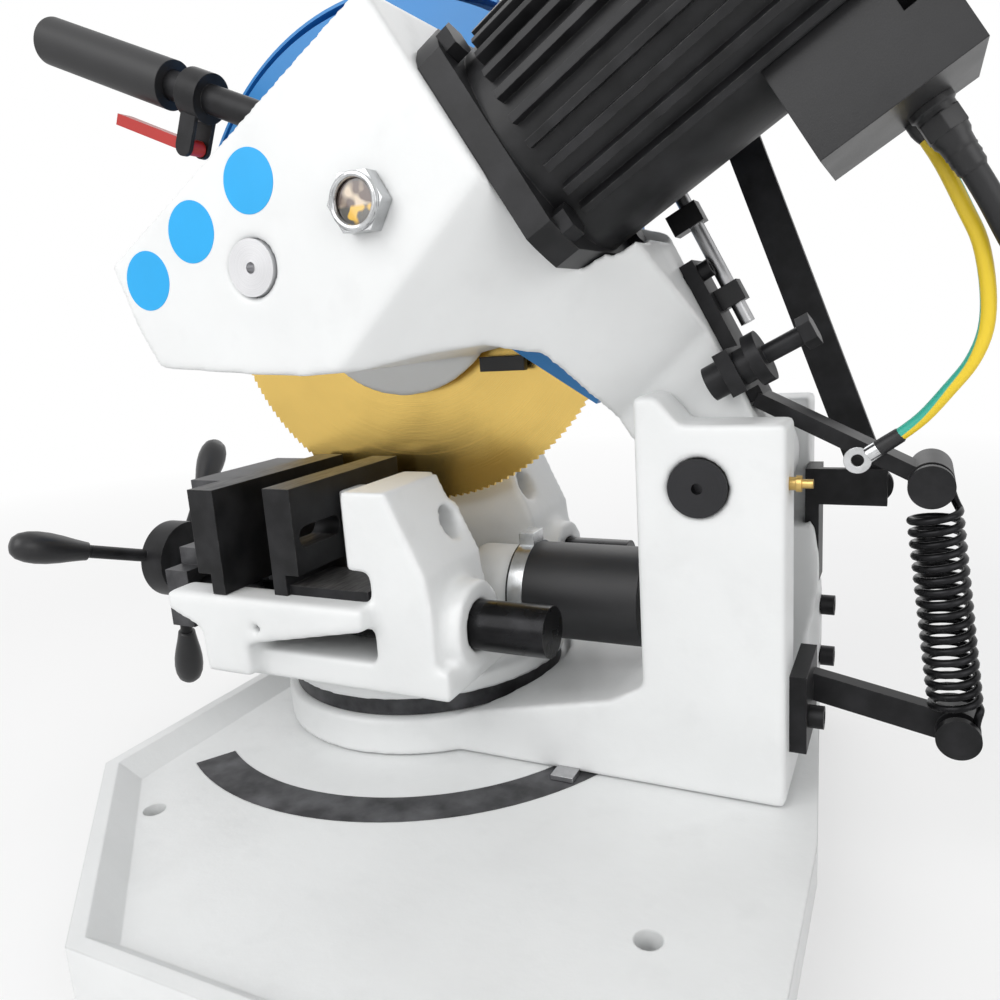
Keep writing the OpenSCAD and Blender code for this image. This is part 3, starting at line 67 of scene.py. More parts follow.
# Meshes: points closer than this in metres are one, and flatter edges than this are shaded smooth.
WELD = 1e-6
SMOOTH_BELOW = math.radians(35)

# The tie rod in metres: a point of its axis, the lean of it, and where its bright steel ends.
ROD_SPOT = (0.2393, -0.0183, 0.3152)
ROD_LEAN = math.radians(26.9)
ROD_EDGE = (0.0042, 0.0046)

# The camera fitted to the photograph: place in metres, turns, and lens and sensor in millimetres.
PHOTO_CENTRE = (0.3242, -0.513, 0.3287)
PHOTO_TURN = math.radians(26.64)
PHOTO_RISE = math.radians(11.83)
PHOTO_ROLL = math.radians(-3.92)
PHOTO_LENS = 30.65
PHOTO_SENSOR = 36
PHOTO_CLIP = 0.01


def tint(name, description, default):
    """A colour that a user may change."""
    return bpy.props.FloatVectorProperty(name=name, description=description, subtype="COLOR", size=3,
                                         min=0, max=1, default=default)


def measure(name, description, default):
    """A length that a user may change."""
    return bpy.props.FloatProperty(name=name, description=description, default=default, min=0,
                                   subtype="DISTANCE", unit="LENGTH", precision=4)


def amount(name, description, default):
    """A plain number that a user may change."""
    return bpy.props.FloatProperty(name=name, description=description, default=default, min=0)


class SawFinishes(bpy.types.PropertyGroup):
    """Colours of the saw's paints, metals and sheaths."""
    enamel: tint("Enamel", "White paint of the castings", (0.80, 0.81, 0.81))
    blued: tint("Blued steel", "Black levers, plates and brackets", (0.012, 0.012, 0.013))
    worn: tint("Worn edge", "Bare steel along the edges of black parts", (0.16, 0.155, 0.15))
    slide: tint("Slideway", "Dark machined iron", (0.055, 0.055, 0.058))
    steel: tint("Turned steel", "Bright machined ends", (0.50, 0.50, 0.51))
    zinc: tint("Zinc", "Plated clamp, ring and lug", (0.72, 0.73, 0.74))
    gold: tint("Gold coat", "Coating of the blade", (0.90, 0.62, 0.18))
    guard: tint("Guard blue", "Paint of the blade guards", (0.03, 0.24, 0.60))
    disc: tint("Disc blue", "Plain round stickers", (0.01, 0.40, 0.84))
    flange: tint("Flange", "Bright face of the blade's clamp flange", (0.90, 0.90, 0.91))
    rubber: tint("Rubber", "Hose, grip and cable", (0.014, 0.014, 0.015))
    plastic: tint("Plastic", "Grips, gland, box and plug", (0.016, 0.016, 0.017))
    brass: tint("Brass", "Nipple, nut and worm wheel", (0.70, 0.48, 0.17))
    red: tint("Trigger red", "Trigger of the handle", (0.45, 0.02, 0.015))
    lead_green: tint("Lead green", "Green stripe of the earth lead", (0.04, 0.44, 0.33))
    lead_yellow: tint("Lead yellow", "Yellow stripe of the earth lead", (0.86, 0.62, 0.03))
    oil: tint("Oil", "Oil behind the sight glass", (0.75, 0.43, 0.02))
    amber: tint("Amber", "Dark glass above the oil", (0.07, 0.030, 0.016))
    glint: tint("Glint", "Reflections in the glass above the oil", (0.62, 0.50, 0.36))
    oil_shade: tint("Oil shade", "Dark parts of the oil", (0.035, 0.030, 0.018))
    glass_rim: tint("Glass rim", "Dark rim of the sight glass", (0.020, 0.012, 0.008))


class SawSizes(bpy.types.PropertyGroup):
    """Sizes of rounded edges, and of the stickers that the scene adds."""
    casting_grid: measure("Casting grid", "Grid that rounds the castings", 0.0024)
    casting_round: measure("Casting edge", "Shaded edge of the white parts", 0.0016)
    plate_round: measure("Plate edge", "Shaded edge of plates and levers", 0.0006)
    moulded_round: measure("Moulded edge", "Shaded edge of plastic and rubber", 0.0008)
    disc_radius: measure("Disc radius", "Radius of the plain round stickers", 0.0165)
    disc_high: measure("Disc thickness", "Thickness of the plain round stickers", 0.0003)


class SawStage(bpy.types.PropertyGroup):
    """Light and floor."""
    floor: tint("Floor", "Colour of the floor", (0.86, 0.86, 0.86))
    sky: amount("Sky", "Strength of the even light", 0.62)
    key: amount("Key light", "Power of the large light near the camera in watts", 14.0)
    fill: amount("Fill light", "Power of the lights at the side and far side in watts", 5.0)


def feed(tree, socket, value):
    """Links a shader value to a socket, or sets the socket to a number or colour."""
    if isinstance(value, Term):
        tree.links.new(value.socket, socket)
    elif hasattr(value, "__len__") and len(socket.default_value) == 4 and len(value) == 3:
        socket.default_value = (*value, 1)
    else:
        socket.default_value = value


class Term:
    """A shader value: sums and products of it add Math nodes to its tree."""

    def __init__(self, tree, socket):
        self.tree = tree
        self.socket = socket

    def math(self, operation, *others):
        node = self.tree.nodes.new("ShaderNodeMath")
        node.operation = operation
        for socket, value in zip(node.inputs, (self, *others)):
            feed(self.tree, socket, value)
        return Term(self.tree, node.outputs[0])

    def __add__(self, other):
        return self.math("ADD", other)

    def __sub__(self, other):
        return self.math("SUBTRACT", other)

    def __rsub__(self, other):
        return self * -1 + other

    def __mul__(self, other):
        return self.math("MULTIPLY", other)

    def __pow__(self, other):
        return self.math("POWER", other)

    __radd__ = __add__
    __rmul__ = __mul__


def hypotenuse(first, second):
    """The long side of a right triangle, in shader values."""
    return (first * first + second * second) ** 0.5


class Finish:
    """A procedural material under construction."""

    def __init__(self, name):
        self.material = bpy.data.materials.new(name)
        self.material.use_nodes = True
        self.tree = self.material.node_tree
        self.shader = self.tree.nodes["Principled BSDF"]

    def node(self, kind, settings=None, sockets=None, out=0):
        """Any node: its settings first, then the values or links of its sockets."""
        node = self.tree.nodes.new("ShaderNode" + kind)
        for key, value in (settings or {}).items():
            setattr(node, key, value)
        for key, value in (sockets or {}).items():
            feed(self.tree, node.inputs[key], value)
        return Term(self.tree, node.outputs[out])

    def coords(self, kind="Object"):
        """Object coordinates, or the piece's UV map."""
        return self.node("TexCoord", None, None, kind)

    def parts(self, kind="Object"):
        """The three numbers of the coordinates."""
        first = self.node("SeparateXYZ", None, {0: self.coords(kind)})
        return [Term(self.tree, socket) for socket in first.socket.node.outputs]

    def place(self, scale=(1, 1, 1)):
        """Object coordinates, stretched."""
        return self.node("Mapping", None, {"Vector": self.coords(), "Scale": scale})

    def noise(self, scale, detail, stretch=(1, 1, 1)):
        return self.node("TexNoise", None, {"Vector": self.place(stretch), "Scale": scale,
                                            "Detail": detail})

    def band(self, value, low, high, start=0, stop=1):
        """A value between low and high turned into one between start and stop, and held there."""
        return self.node("MapRange", {"clamp": True}, {"Value": value, "From Min": low, "From Max": high,
                                                       "To Min": start, "To Max": stop})

    def mix(self, first, second, share):
        """A blend of two colours, which are sockets 6 and 7 and output 2 of a Mix node."""
        return self.node("Mix", {"data_type": "RGBA"}, {0: share, 6: first, 7: second}, 2)

    def dot(self, first, second):
        return self.node("VectorMath", {"operation": "DOT_PRODUCT"}, {0: first, 1: second}, "Value")

    def rounded(self, radius):
        """The normal of a surface with its edges rounded in shading."""
        return self.node("Bevel", {"samples": 4}, {"Radius": radius})

    def face_normal(self):
        return self.node("NewGeometry", None, None, "Normal")

    def edge(self, normal):
        """How far a rounded normal departs from the face: zero away from edges."""
        return 1 - self.dot(normal, self.face_normal())

    def bump(self, height, strength, distance, normal=None):
        sockets = {"Height": height, "Strength": strength, "Distance": distance}
        if normal:
            sockets["Normal"] = normal
        return self.node("Bump", None, sockets)

    def pebble(self, scale, strength, distance, normal=None, detail=2):
        """Fine bumps all over a surface."""
        return self.bump(self.noise(scale, detail), strength, distance, normal)

    def around_y(self, x, z):
        """Distance from an axis along Y through a point of the side view."""
        place = self.parts()
        return hypotenuse(place[0] - x * MM, place[2] - (z + FLOOR) * MM)

    def set(self, **values):
        """Sets the shader's sockets, with _ for each space in a name, and gives the material."""
        for key, value in values.items():
            feed(self.tree, self.shader.inputs[key.replace("_", " ")], value)
        return self.material


def scaled(colour, share):
    """A colour made darker or lighter."""
    return tuple(min(1, c * share) for c in colour)


def finishes():
    return bpy.context.scene.saw_finishes


def sizes():
    return bpy.context.scene.saw_sizes


def white_enamel(name, lumps):
    """White paint on a casting: faint clouding, orange peel and the lumps of the sand under it."""
    paint = Finish(name)
    colour = finishes().enamel
    cloud = paint.noise(scale=14, detail=4)
    smudge = paint.band(paint.noise(scale=45, detail=5), low=0.56, high=0.78)
    tone = paint.mix(scaled(colour, 0.94), colour, paint.band(cloud, low=0.3, high=0.65))
    tone = paint.mix(tone, scaled(colour, 0.80), smudge * 0.22)
    normal = paint.rounded(sizes().casting_round)
    sand = paint.pebble(scale=130, strength=lumps, distance=0.0012, normal=normal, detail=4)
    peel = paint.pebble(scale=900, strength=0.05, distance=0.0004, normal=sand)
    return paint.set(Base_Color=tone, Roughness=0.33 + smudge * 0.25 + cloud * 0.08, Normal=peel)


def blued_steel(name, colour, metal, gloss, grain=(1, 1, 1), bare_top=0):
    """Black oxide on steel: grinding grain, cloudy sheen, worn edges and a share of bare metal on top."""
    steel = Finish(name)
    normal = steel.rounded(sizes().plate_round)
    cloud = steel.noise(scale=60, detail=5)
    lines = steel.noise(scale=700, detail=2, stretch=grain)
    patches = steel.band(steel.noise(scale=240, detail=4), low=0.42, high=0.62)
    worn = steel.band(steel.edge(normal), low=0.05, high=0.28) * patches
    tone = steel.mix(scaled(colour, 0.75), scaled(colour, 1.9), steel.band(cloud, low=0.35, high=0.7))
    tone = steel.mix(tone, finishes().worn, worn * 0.55)
    if bare_top:
        facing = steel.node("SeparateXYZ", None, {0: steel.face_normal()}, "Z")
        bare = steel.band(facing, low=0.9, high=0.97) * steel.band(lines, low=0.2, high=0.7)
        tone = steel.mix(tone, finishes().worn, bare * bare_top)
    return steel.set(Base_Color=tone, Metallic=metal, Roughness=gloss + cloud * 0.16 - worn * 0.1,
                     Normal=steel.bump(lines, strength=0.10, distance=0.0003, normal=normal),
                     Specular_IOR_Level=0.3)


def plated(name, colour, gloss):
    """Bright plated or machined metal with faint stains."""
    metal = Finish(name)
    stain = metal.noise(scale=120, detail=4)
    tone = metal.mix(scaled(colour, 0.78), colour, metal.band(stain, low=0.35, high=0.6))
    normal = metal.rounded(sizes().plate_round)
    return metal.set(Base_Color=tone, Metallic=1.0, Roughness=gloss + stain * 0.14,
                     Normal=metal.pebble(scale=1400, strength=0.05, distance=0.0002, normal=normal))


def rod_and_blocks():
    """Bright rod in black blocks: bright close to the rod's axis, which leans back on the neck."""
    metal = Finish("rod_and_blocks")
    colours = finishes()
    away = metal.node("VectorMath", {"operation": "SUBTRACT"}, {0: metal.coords(), 1: ROD_SPOT})
    across = metal.dot(away, (math.cos(ROD_LEAN), 0, math.sin(ROD_LEAN)))
    side = metal.parts()[1] - ROD_SPOT[1]
    black = metal.band(hypotenuse(across, side), *ROD_EDGE)
    stain = metal.noise(scale=150, detail=4)
    tone = metal.mix(scaled(colours.steel, 0.7), colours.steel, stain)
    normal = metal.rounded(sizes().plate_round)
    return metal.set(Base_Color=metal.mix(tone, colours.blued, black), Metallic=1 - black * 0.6,
                     Roughness=0.26 + stain * 0.14,
                     Normal=metal.pebble(scale=900, strength=0.06, distance=0.0002, normal=normal))


def turned(name, colour, axis, pitch, gloss):
    """Metal turned or ground in rings about an axis along Y through a point of the side view."""
    metal = Finish(name)
    rings = metal.node("TexNoise", {"noise_dimensions": "1D"},
                       {"W": metal.around_y(*axis) * pitch, "Scale": 1.0, "Detail": 2.0})
    cloud = metal.noise(scale=25, detail=4)
    tone = metal.mix(scaled(colour, 0.80), colour, metal.band(rings + cloud * 0.5, low=0.5, high=0.95))
    return metal.set(Base_Color=tone, Metallic=1.0, Roughness=gloss + rings * 0.12,
                     Normal=metal.bump(rings, strength=0.22, distance=0.0002))


def moulded(name, colour, gloss, pebble):
    """Black plastic or rubber with a fine pebble."""
    plastic = Finish(name)
    cloud = plastic.noise(scale=40, detail=4)
    tone = plastic.mix(scaled(colour, 0.8), scaled(colour, 1.7), cloud)
    normal = plastic.rounded(sizes().moulded_round)
    return plastic.set(Base_Color=tone, Roughness=gloss + cloud * 0.12, Specular_IOR_Level=0.4,
                       Normal=plastic.pebble(scale=1100, strength=pebble, distance=0.0003, normal=normal))


def painted(name, colour, gloss):
    """Coloured paint or film with a faint orange peel."""
    paint = Finish(name)
    cloud = paint.noise(scale=30, detail=3)
    return paint.set(Base_Color=paint.mix(scaled(colour, 0.86), colour, cloud),
                     Roughness=gloss + cloud * 0.1,
                     Normal=paint.pebble(scale=800, strength=0.04, distance=0.0003))


def striped_lead(twist=0.45, first=0.33, blur=0.08):
    """Green and yellow sheath: the stripes run along the lead with a slow twist from their first turn."""
    sheath = Finish("lead_sheath")
    colours = finishes()
    along, around = sheath.parts("UV")[:2]
    wave = ((around + along * twist - first) * math.tau).math("SINE")
    stripe = sheath.band(wave, low=-blur, high=blur)
    return sheath.set(Base_Color=sheath.mix(colours.lead_green, colours.lead_yellow, stripe),
                      Roughness=0.34 + sheath.noise(scale=90, detail=3) * 0.12)


def oil_window():
    """Glass over oil: dark amber with reflections above, oil below its level, and a dark rim."""
    window = Finish("oil_window")
    colours = finishes()
    level = (SIGHT[1] + FLOOR) * MM
    below = window.band(window.parts()[2], low=level - 0.0012, high=level - 0.0026)
    glint = window.band(window.noise(scale=95, detail=1), low=0.48, high=0.56)
    clear = window.band(window.noise(scale=120, detail=1), low=0.50, high=0.56)
    upper = window.mix(colours.amber, colours.glint, glint)
    lower = window.mix(colours.oil_shade, colours.oil, clear)
    rim = window.band(window.around_y(*SIGHT), low=0.0085, high=0.0108)
    tone = window.mix(window.mix(upper, lower, below), colours.glass_rim, rim)
    return window.set(Base_Color=tone, Roughness=0.12, Coat_Weight=1.0, Coat_Roughness=0.03)


def made_materials():
    """Every finish of the saw by name."""
    colours = finishes()
    return {
        "casting": white_enamel("casting_enamel", lumps=0.16),
        "case": white_enamel("case_enamel", lumps=0.07),
        "base": white_enamel("base_enamel", lumps=0.24),
        "blued": blued_steel("blued_steel", colours.blued, metal=0.35, gloss=0.36),
        "jaw": blued_steel("ground_black", colours.blued, metal=0.3, gloss=0.40, grain=(1, 0.12, 1),
                           bare_top=0.7),
        "rod": rod_and_blocks(),
        "slide": blued_steel("slideway_iron", colours.slide, metal=0.6, gloss=0.38, grain=(0.1, 1, 1)),
        "bar": blued_steel("polished_bar", colours.blued, metal=0.7, gloss=0.20, grain=(0.2, 1, 1)),
        "scale": blued_steel("scale_steel", scaled(colours.slide, 1.3), metal=0.4, gloss=0.55),
        "motor": blued_steel("motor_black", colours.blued, metal=0.0, gloss=0.34),
        "pin": turned("turned_pin", scaled(colours.slide, 0.9), PIVOT, pitch=3000, gloss=0.30),
        "cap": turned("turned_cap", scaled(colours.steel, 1.4), HEAD, pitch=3600, gloss=0.34),
        "flange": turned("bright_flange", colours.flange, HEAD, pitch=2200, gloss=0.42),
        "gold": turned("gold_blade", colours.gold, HEAD, pitch=2600, gloss=0.16),
        "chrome": plated("bright_chrome", scaled(colours.zinc, 0.8), gloss=0.08),
        "steel": plated("bright_steel", colours.steel, gloss=0.28),
        "zinc": plated("bright_zinc", colours.zinc, gloss=0.16),
        "brass": plated("bright_brass", colours.brass, gloss=0.26),
        "guard": painted("guard_blue", colours.guard, gloss=0.32),
        "disc": painted("disc_film", colours.disc, gloss=0.28),
        "red": painted("trigger_red", colours.red, gloss=0.34),
        "rubber": moulded("hose_rubber", colours.rubber, gloss=0.42, pebble=0.08),
        "plastic": moulded("black_plastic", colours.plastic, gloss=0.30, pebble=0.12),
        "lead": striped_lead(),
        "oil": oil_window(),
    }


NODE_FINISH = {
    "base": ["base_casting"],
    "casting": ["vise_body", "swivel_arm"],
    "case": ["head_casting"],
    "blued": ["spring_bracket", "bracket_screws", "link_bracket", "spring_lever", "lever_screw", "stop_boss",
              "stop_bolt", "guard_link", "handwheel", "vise_bolts", "swivel_lock", "handle_lever",
              "mounting_feet", "motor_bolts"],
    "jaw": ["fixed_jaw_near", "fixed_jaw_far", "moving_jaw", "fixed_jaw_screws", "moving_jaw_screws"],
    "slide": ["jaw_carriage", "swivel_post"],
    "bar": ["guide_bars"],
    "scale": ["scale_band"],
    "motor": ["motor_housing", "fan_cowl"],
    "pin": ["pivot_pin"],
    "cap": ["spindle"],
    "flange": ["blade_clamp"],
    "chrome": ["sight_ring"],
    "gold": ["saw_blade"],
    "rod": ["tie_rod"],
    "steel": ["vise_screw", "angle_pointer", "spindle_bearings", "worm_shaft"],
    "zinc": ["earth_lug", "hose_clamp"],
    "brass": ["vise_nut", "worm_wheel", "grease_nipple"],
    "guard": ["blade_guard", "moving_guard"],
    "red": ["trigger"],
    "rubber": ["screw_hose", "handle_grip", "supply_cable", "cable_coil", "return_spring"],
    "plastic": ["handwheel_grips", "terminal_box", "cable_gland", "guard_slider", "cooling_fan",
                "supply_plug"],
    "lead": ["earth_lead"],
    "oil": ["sight_lens"],
}

MADE = {}


def finish_of(name):
    """A finish, made with all the others when the first is asked for."""
    if not MADE:
        MADE.update(made_materials())
    return MADE[name]


def spot(x, y, z):
    """A point given in millimetres above the tray floor, in metres above the bench."""
    return Vector((x, y, z + FLOOR)) * MM


def add_piece(name, mesh, finish, body, replaces=()):
    """A piece of the saw: linked, finished and riding on its body, if one body carries it."""
    piece = bpy.data.objects.new(name, mesh)
    bpy.context.scene.collection.objects.link(piece)
    mesh.materials.clear()
    mesh.materials.append(finish_of(finish))
    if body:
        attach(piece, body)
    if replaces:
        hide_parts(*replaces)
    return piece


def mesh_of(bm, name):
    """Closes a bmesh into a mesh with its normals outwards and its round faces shaded smooth."""
    bmesh.ops.remove_doubles(bm, verts=bm.verts, dist=WELD)
    bmesh.ops.recalc_face_normals(bm, faces=bm.faces)
    for face in bm.faces:
        face.smooth = True
    for edge in bm.edges:
        edge.smooth = len(edge.link_faces) == 2 and edge.calc_face_angle(0) < SMOOTH_BELOW
    mesh = bpy.data.meshes.new(name)
    bm.to_mesh(mesh)
    bm.free()
    return mesh


def turn_to(axis):
    """The turn that takes +Z to an axis."""
    return Vector((0, 0, 1)).rotation_difference(Vector(axis)).to_matrix().to_4x4()


def lathe(bm, profile, place, axis, steps=48):
    """Spins a profile of (radius, height) in millimetres about an axis through a point."""
    matrix = Matrix.Translation(place) @ turn_to(axis)
    verts = [bm.verts.new(matrix @ Vector((r * MM, 0, h * MM))) for r, h in profile]
    edges = [bm.edges.new(pair) for pair in zip(verts, verts[1:])]
    bmesh.ops.spin(bm, geom=verts + edges, cent=place, axis=Vector(axis), angle=math.tau, steps=steps,
                   use_merge=True)


def moved_out(bm, geometry, step):
    """Moves the vertices of freshly extruded geometry, and gives them."""
    verts = [item for item in geometry if isinstance(item, bmesh.types.BMVert)]
    bmesh.ops.translate(bm, verts=verts, vec=step)
    return verts


def hexagon(bm, across, high, place, axis, edge):
    """A six-sided prism with bevelled edges, such as a nut, sizes in millimetres."""
    made = bmesh.ops.create_circle(bm, cap_ends=True, segments=6, radius=across * MM / 2,
                                   matrix=Matrix.Translation(place) @ turn_to(axis))
    face = made["verts"][0].link_faces[0]
    top = bmesh.ops.extrude_face_region(bm, geom=[face])["geom"]
    lifted = moved_out(bm, top, Vector(axis) * high * MM)
    rims = list({e for v in lifted for e in v.link_edges})
    bmesh.ops.bevel(bm, geom=rims, offset=edge * MM, segments=2, profile=0.5, affect="EDGES", material=-1)


def tube_mesh(points, radius, name, resolution):
    """A round tube along a line of points, with its length and turn in a UV map."""
    line = bpy.data.curves.new(name, "CURVE")
    line.dimensions = "3D"
    line.bevel_depth = radius
    line.bevel_resolution = resolution
    line.use_fill_caps = True
    spline = line.splines.new("POLY")
    spline.points.add(len(points) - 1)
    for target, point in zip(spline.points, points):
        target.co = (*point, 1)
    spline.use_smooth = True
    holder = bpy.data.objects.new(name + "_line", line)
    bpy.context.scene.collection.objects.link(holder)
    solid = holder.evaluated_get(bpy.context.evaluated_depsgraph_get())
    mesh = bpy.data.meshes.new_from_object(solid)
    bpy.data.objects.remove(holder)
    bpy.data.curves.remove(line)
    mesh.name = name
    return mesh


def cubic(p, q, r, s, t):
    """A point of a curve with four control points."""
    middle = q.lerp(r, t)
    return p.lerp(q, t).lerp(middle, t).lerp(middle.lerp(r.lerp(s, t), t), t)


def smooth_line(points, steps=4):
    """A smooth line through points, as the solids have it: each point's neighbours set its direction."""
    last = len(points) - 1
    line = []
    for i in range(last):
        before = points[max(i - 1, 0)]
        after = points[min(i + 2, last)]
        leave = points[i] + (points[i + 1] - before) / 6
        reach = points[i + 1] - (after - points[i]) / 6
        line += [cubic(points[i], leave, reach, points[i + 1], k / steps) for k in range(steps)]
    return line + [points[last]]


def case_spot(a, y, b):
    """A point of the tilted motor frame."""
    x = HEAD[0] + a * math.cos(MOTOR_TILT) - b * math.sin(MOTOR_TILT)
    z = HEAD[1] + a * math.sin(MOTOR_TILT) + b * math.cos(MOTOR_TILT)
    return spot(x, y, z)


# Cords in millimetres: each leaves its gland at an exit in the motor frame.
CABLE_D = 11
CABLE_EXIT = (295, -68, -150)
CABLE_POINTS = [(349, -66, 308), (358, -61, 291), (372, -55, 265), (386, -48, 230), (397, -42, 190),
                (406, -39, 140), (415, -40, 95), (424, -43, 50), (431, -45, 14), (432, -45.5, -9),
                (432, -40, -31.7), (431, -23.5, -48.2), (430, -1, -54.2)]
LEAD_D = 7
LEAD_EXIT = (288, -54, -140)
LEAD_POINTS = [(332, -55, 322), (340, -55, 305), (347, -54, 289), (351, -52, 268), (351, -50, 250),
               (346, -48, 235), (337, -46, 222), (326, -43, 208), (314, -41, 197.6), (306, -41, 192)]
CORD_RESOLUTION = 4

# The coil on the bench: turns of one layer, steps of a turn, and the share of a turn that climbs a layer.
COIL_R = 70
COIL_STEP = 12
COIL_TURNS = 1.75
COIL_MID = (500, 40)
RING_STEPS = 32
CLIMB_TURN = 0.5
JOIN = Vector((0, 4 * MM, 0))
CABLE_REST = 5.8 - FLOOR

# The end that rises from the coil to the plug, in steps, the last of them level.
TAIL = 66
TAIL_STEPS = 4
PLUG_REST = 22.3 - FLOOR


def coil_spot(t):
    """A point of the coil after so many turns: in on the lower layer and out on the upper."""
    share = t if t < COIL_TURNS else 2 * COIL_TURNS - t
    rise = min(1, max(0, (t - COIL_TURNS) / CLIMB_TURN + 0.5))
    turn = math.radians(180 - 360 * t)
    reach = COIL_R - COIL_STEP * share
    return spot(COIL_MID[0] + reach * math.cos(turn), COIL_MID[1] + reach * math.sin(turn),
                CABLE_REST + COIL_STEP * rise)


def straight_start(exit_spot, run):
    """The two ends of a cord's straight start at its exit."""
    a, y, b = exit_spot
    return [case_spot(a, y, b), case_spot(a, y, b - run)]


def cable_line():
    """The whole supply cable from its gland to its plug."""
    start = straight_start(CABLE_EXIT, CABLE_D)
    join = coil_spot(0) - JOIN
    hang = smooth_line(start[1:] + [spot(*p) for p in CABLE_POINTS] + [join - JOIN])
    rings = int(2 * COIL_TURNS * RING_STEPS)
    coil = [coil_spot(k / RING_STEPS) for k in range(rings + 1)]
    end = coil[-1]
    climb = (PLUG_REST + FLOOR) * MM - end.z
    tail = [end + Vector((0, -TAIL * MM * k / TAIL_STEPS, climb * min(1, k / (TAIL_STEPS - 1))))
            for k in range(1, TAIL_STEPS + 1)]
    return start[:1] + hang + [join] + coil + tail


def lead_line():
    """The earth lead from its gland to its lug."""
    start = straight_start(LEAD_EXIT, LEAD_D)
    points = [spot(*p) for p in LEAD_POINTS]
    return start[:1] + smooth_line(start[1:] + points[:-1]) + points[-1:]


def length_of(line):
    return sum((b - a).length for a, b in zip(line, line[1:]))


class SAW_OT_stage(bpy.types.Operator):
    """Camera at the photograph's angle, pale floor and soft light."""
    bl_idname = "saw.stage"
    bl_label = "Stage"

    # The floor in metres, and how its own glow grows from near to far.
    FLOOR_R = 4
    FLOOR_SIDES = 96
    FLOOR_FADE = {"low": 0.7, "high": 1.8, "start": 0.55, "stop": 1.0}

    # Name, power setting, width, place and aim of each light.
    LAMPS = (("key_light", "key", 1.3, (-0.35, -1.25, 1.25), (0.1, 0, 0.3)),
             ("side_light", "fill", 1.0, (1.35, -0.75, 0.75), (0.15, 0, 0.3)),
             ("far_light", "fill", 1.2, (-0.4, 1.3, 1.2), (0.1, 0, 0.3)))

    def execute(self, context):
        scene = context.scene
        scene.view_settings.view_transform = "Standard"
        self.camera(scene)
        self.light_world(scene)
        self.floor(scene)
        for name, power, size, place, aim in self.LAMPS:
            self.lamp(scene, name, getattr(scene.saw_stage, power), size, place, aim)
        return {"FINISHED"}

    def camera(self, scene):
        flat = math.cos(PHOTO_RISE)
        back = Vector((math.sin(PHOTO_TURN) * flat, -math.cos(PHOTO_TURN) * flat, math.sin(PHOTO_RISE)))
        level = Vector((math.cos(PHOTO_TURN), math.sin(PHOTO_TURN), 0))
        upright = back.cross(level)
        right = level * math.cos(PHOTO_ROLL) + upright * math.sin(PHOTO_ROLL)
        up = upright * math.cos(PHOTO_ROLL) - level * math.sin(PHOTO_ROLL)
        turn = Matrix((right, up, back)).transposed().to_4x4()
        lens = bpy.data.cameras.new("photo_camera")
        lens.lens = PHOTO_LENS
        lens.sensor_width = PHOTO_SENSOR
        lens.clip_start = PHOTO_CLIP
        camera = bpy.data.objects.new("photo_camera", lens)
        camera.matrix_world = Matrix.Translation(PHOTO_CENTRE) @ turn
        scene.collection.objects.link(camera)
        scene.camera = camera

    def light_world(self, scene):
        """White to the camera and in reflections, and dimmer as a light."""
        world = scene.world or bpy.data.worlds.new("soft_room")
        scene.world = world
        world.use_nodes = True
        tree = world.node_tree
        plain = tree.nodes["Background"]
        plain.inputs["Color"].default_value = (1, 1, 1, 1)
        path = tree.nodes.new("ShaderNodeLightPath")
        seen = Term(tree, path.outputs["Is Camera Ray"])
        for ray in ("Is Glossy Ray", "Is Transmission Ray"):
            seen = seen.math("MAXIMUM", Term(tree, path.outputs[ray]))
        sky = scene.saw_stage.sky
        feed(tree, plain.inputs["Strength"], seen * (1 - sky) + sky)

    def floor(self, scene):
        bm = bmesh.new()
        bmesh.ops.create_circle(bm, cap_ends=True, segments=self.FLOOR_SIDES, radius=self.FLOOR_R)
        floor = bpy.data.objects.new("floor", mesh_of(bm, "floor"))
        scene.collection.objects.link(floor)
        pale = Finish("pale_floor")
        path = pale.node("LightPath", None, None, "Is Camera Ray")
        glow = pale.node("Emission", None, {"Color": (1, 1, 1), "Strength": 1.0})
        far = pale.node("VectorMath", {"operation": "LENGTH"}, {0: pale.place()}, "Value")
        share = path * pale.band(far, **self.FLOOR_FADE)
        pale.set(Base_Color=tuple(scene.saw_stage.floor), Roughness=0.9)
        both = pale.node("MixShader", None, {0: share, 1: Term(pale.tree, pale.shader.outputs[0]), 2: glow})
        pale.tree.links.new(both.socket, pale.tree.nodes["Material Output"].inputs["Surface"])
        floor.data.materials.append(pale.material)

    def lamp(self, scene, name, power, size, place, aim):
        light = bpy.data.lights.new(name, "AREA")
        light.energy = power
        light.size = size
        lamp = bpy.data.objects.new(name, light)
        lamp.matrix_world = Matrix.Translation(place) @ turn_to(Vector(place) - Vector(aim))
        scene.collection.objects.link(lamp)


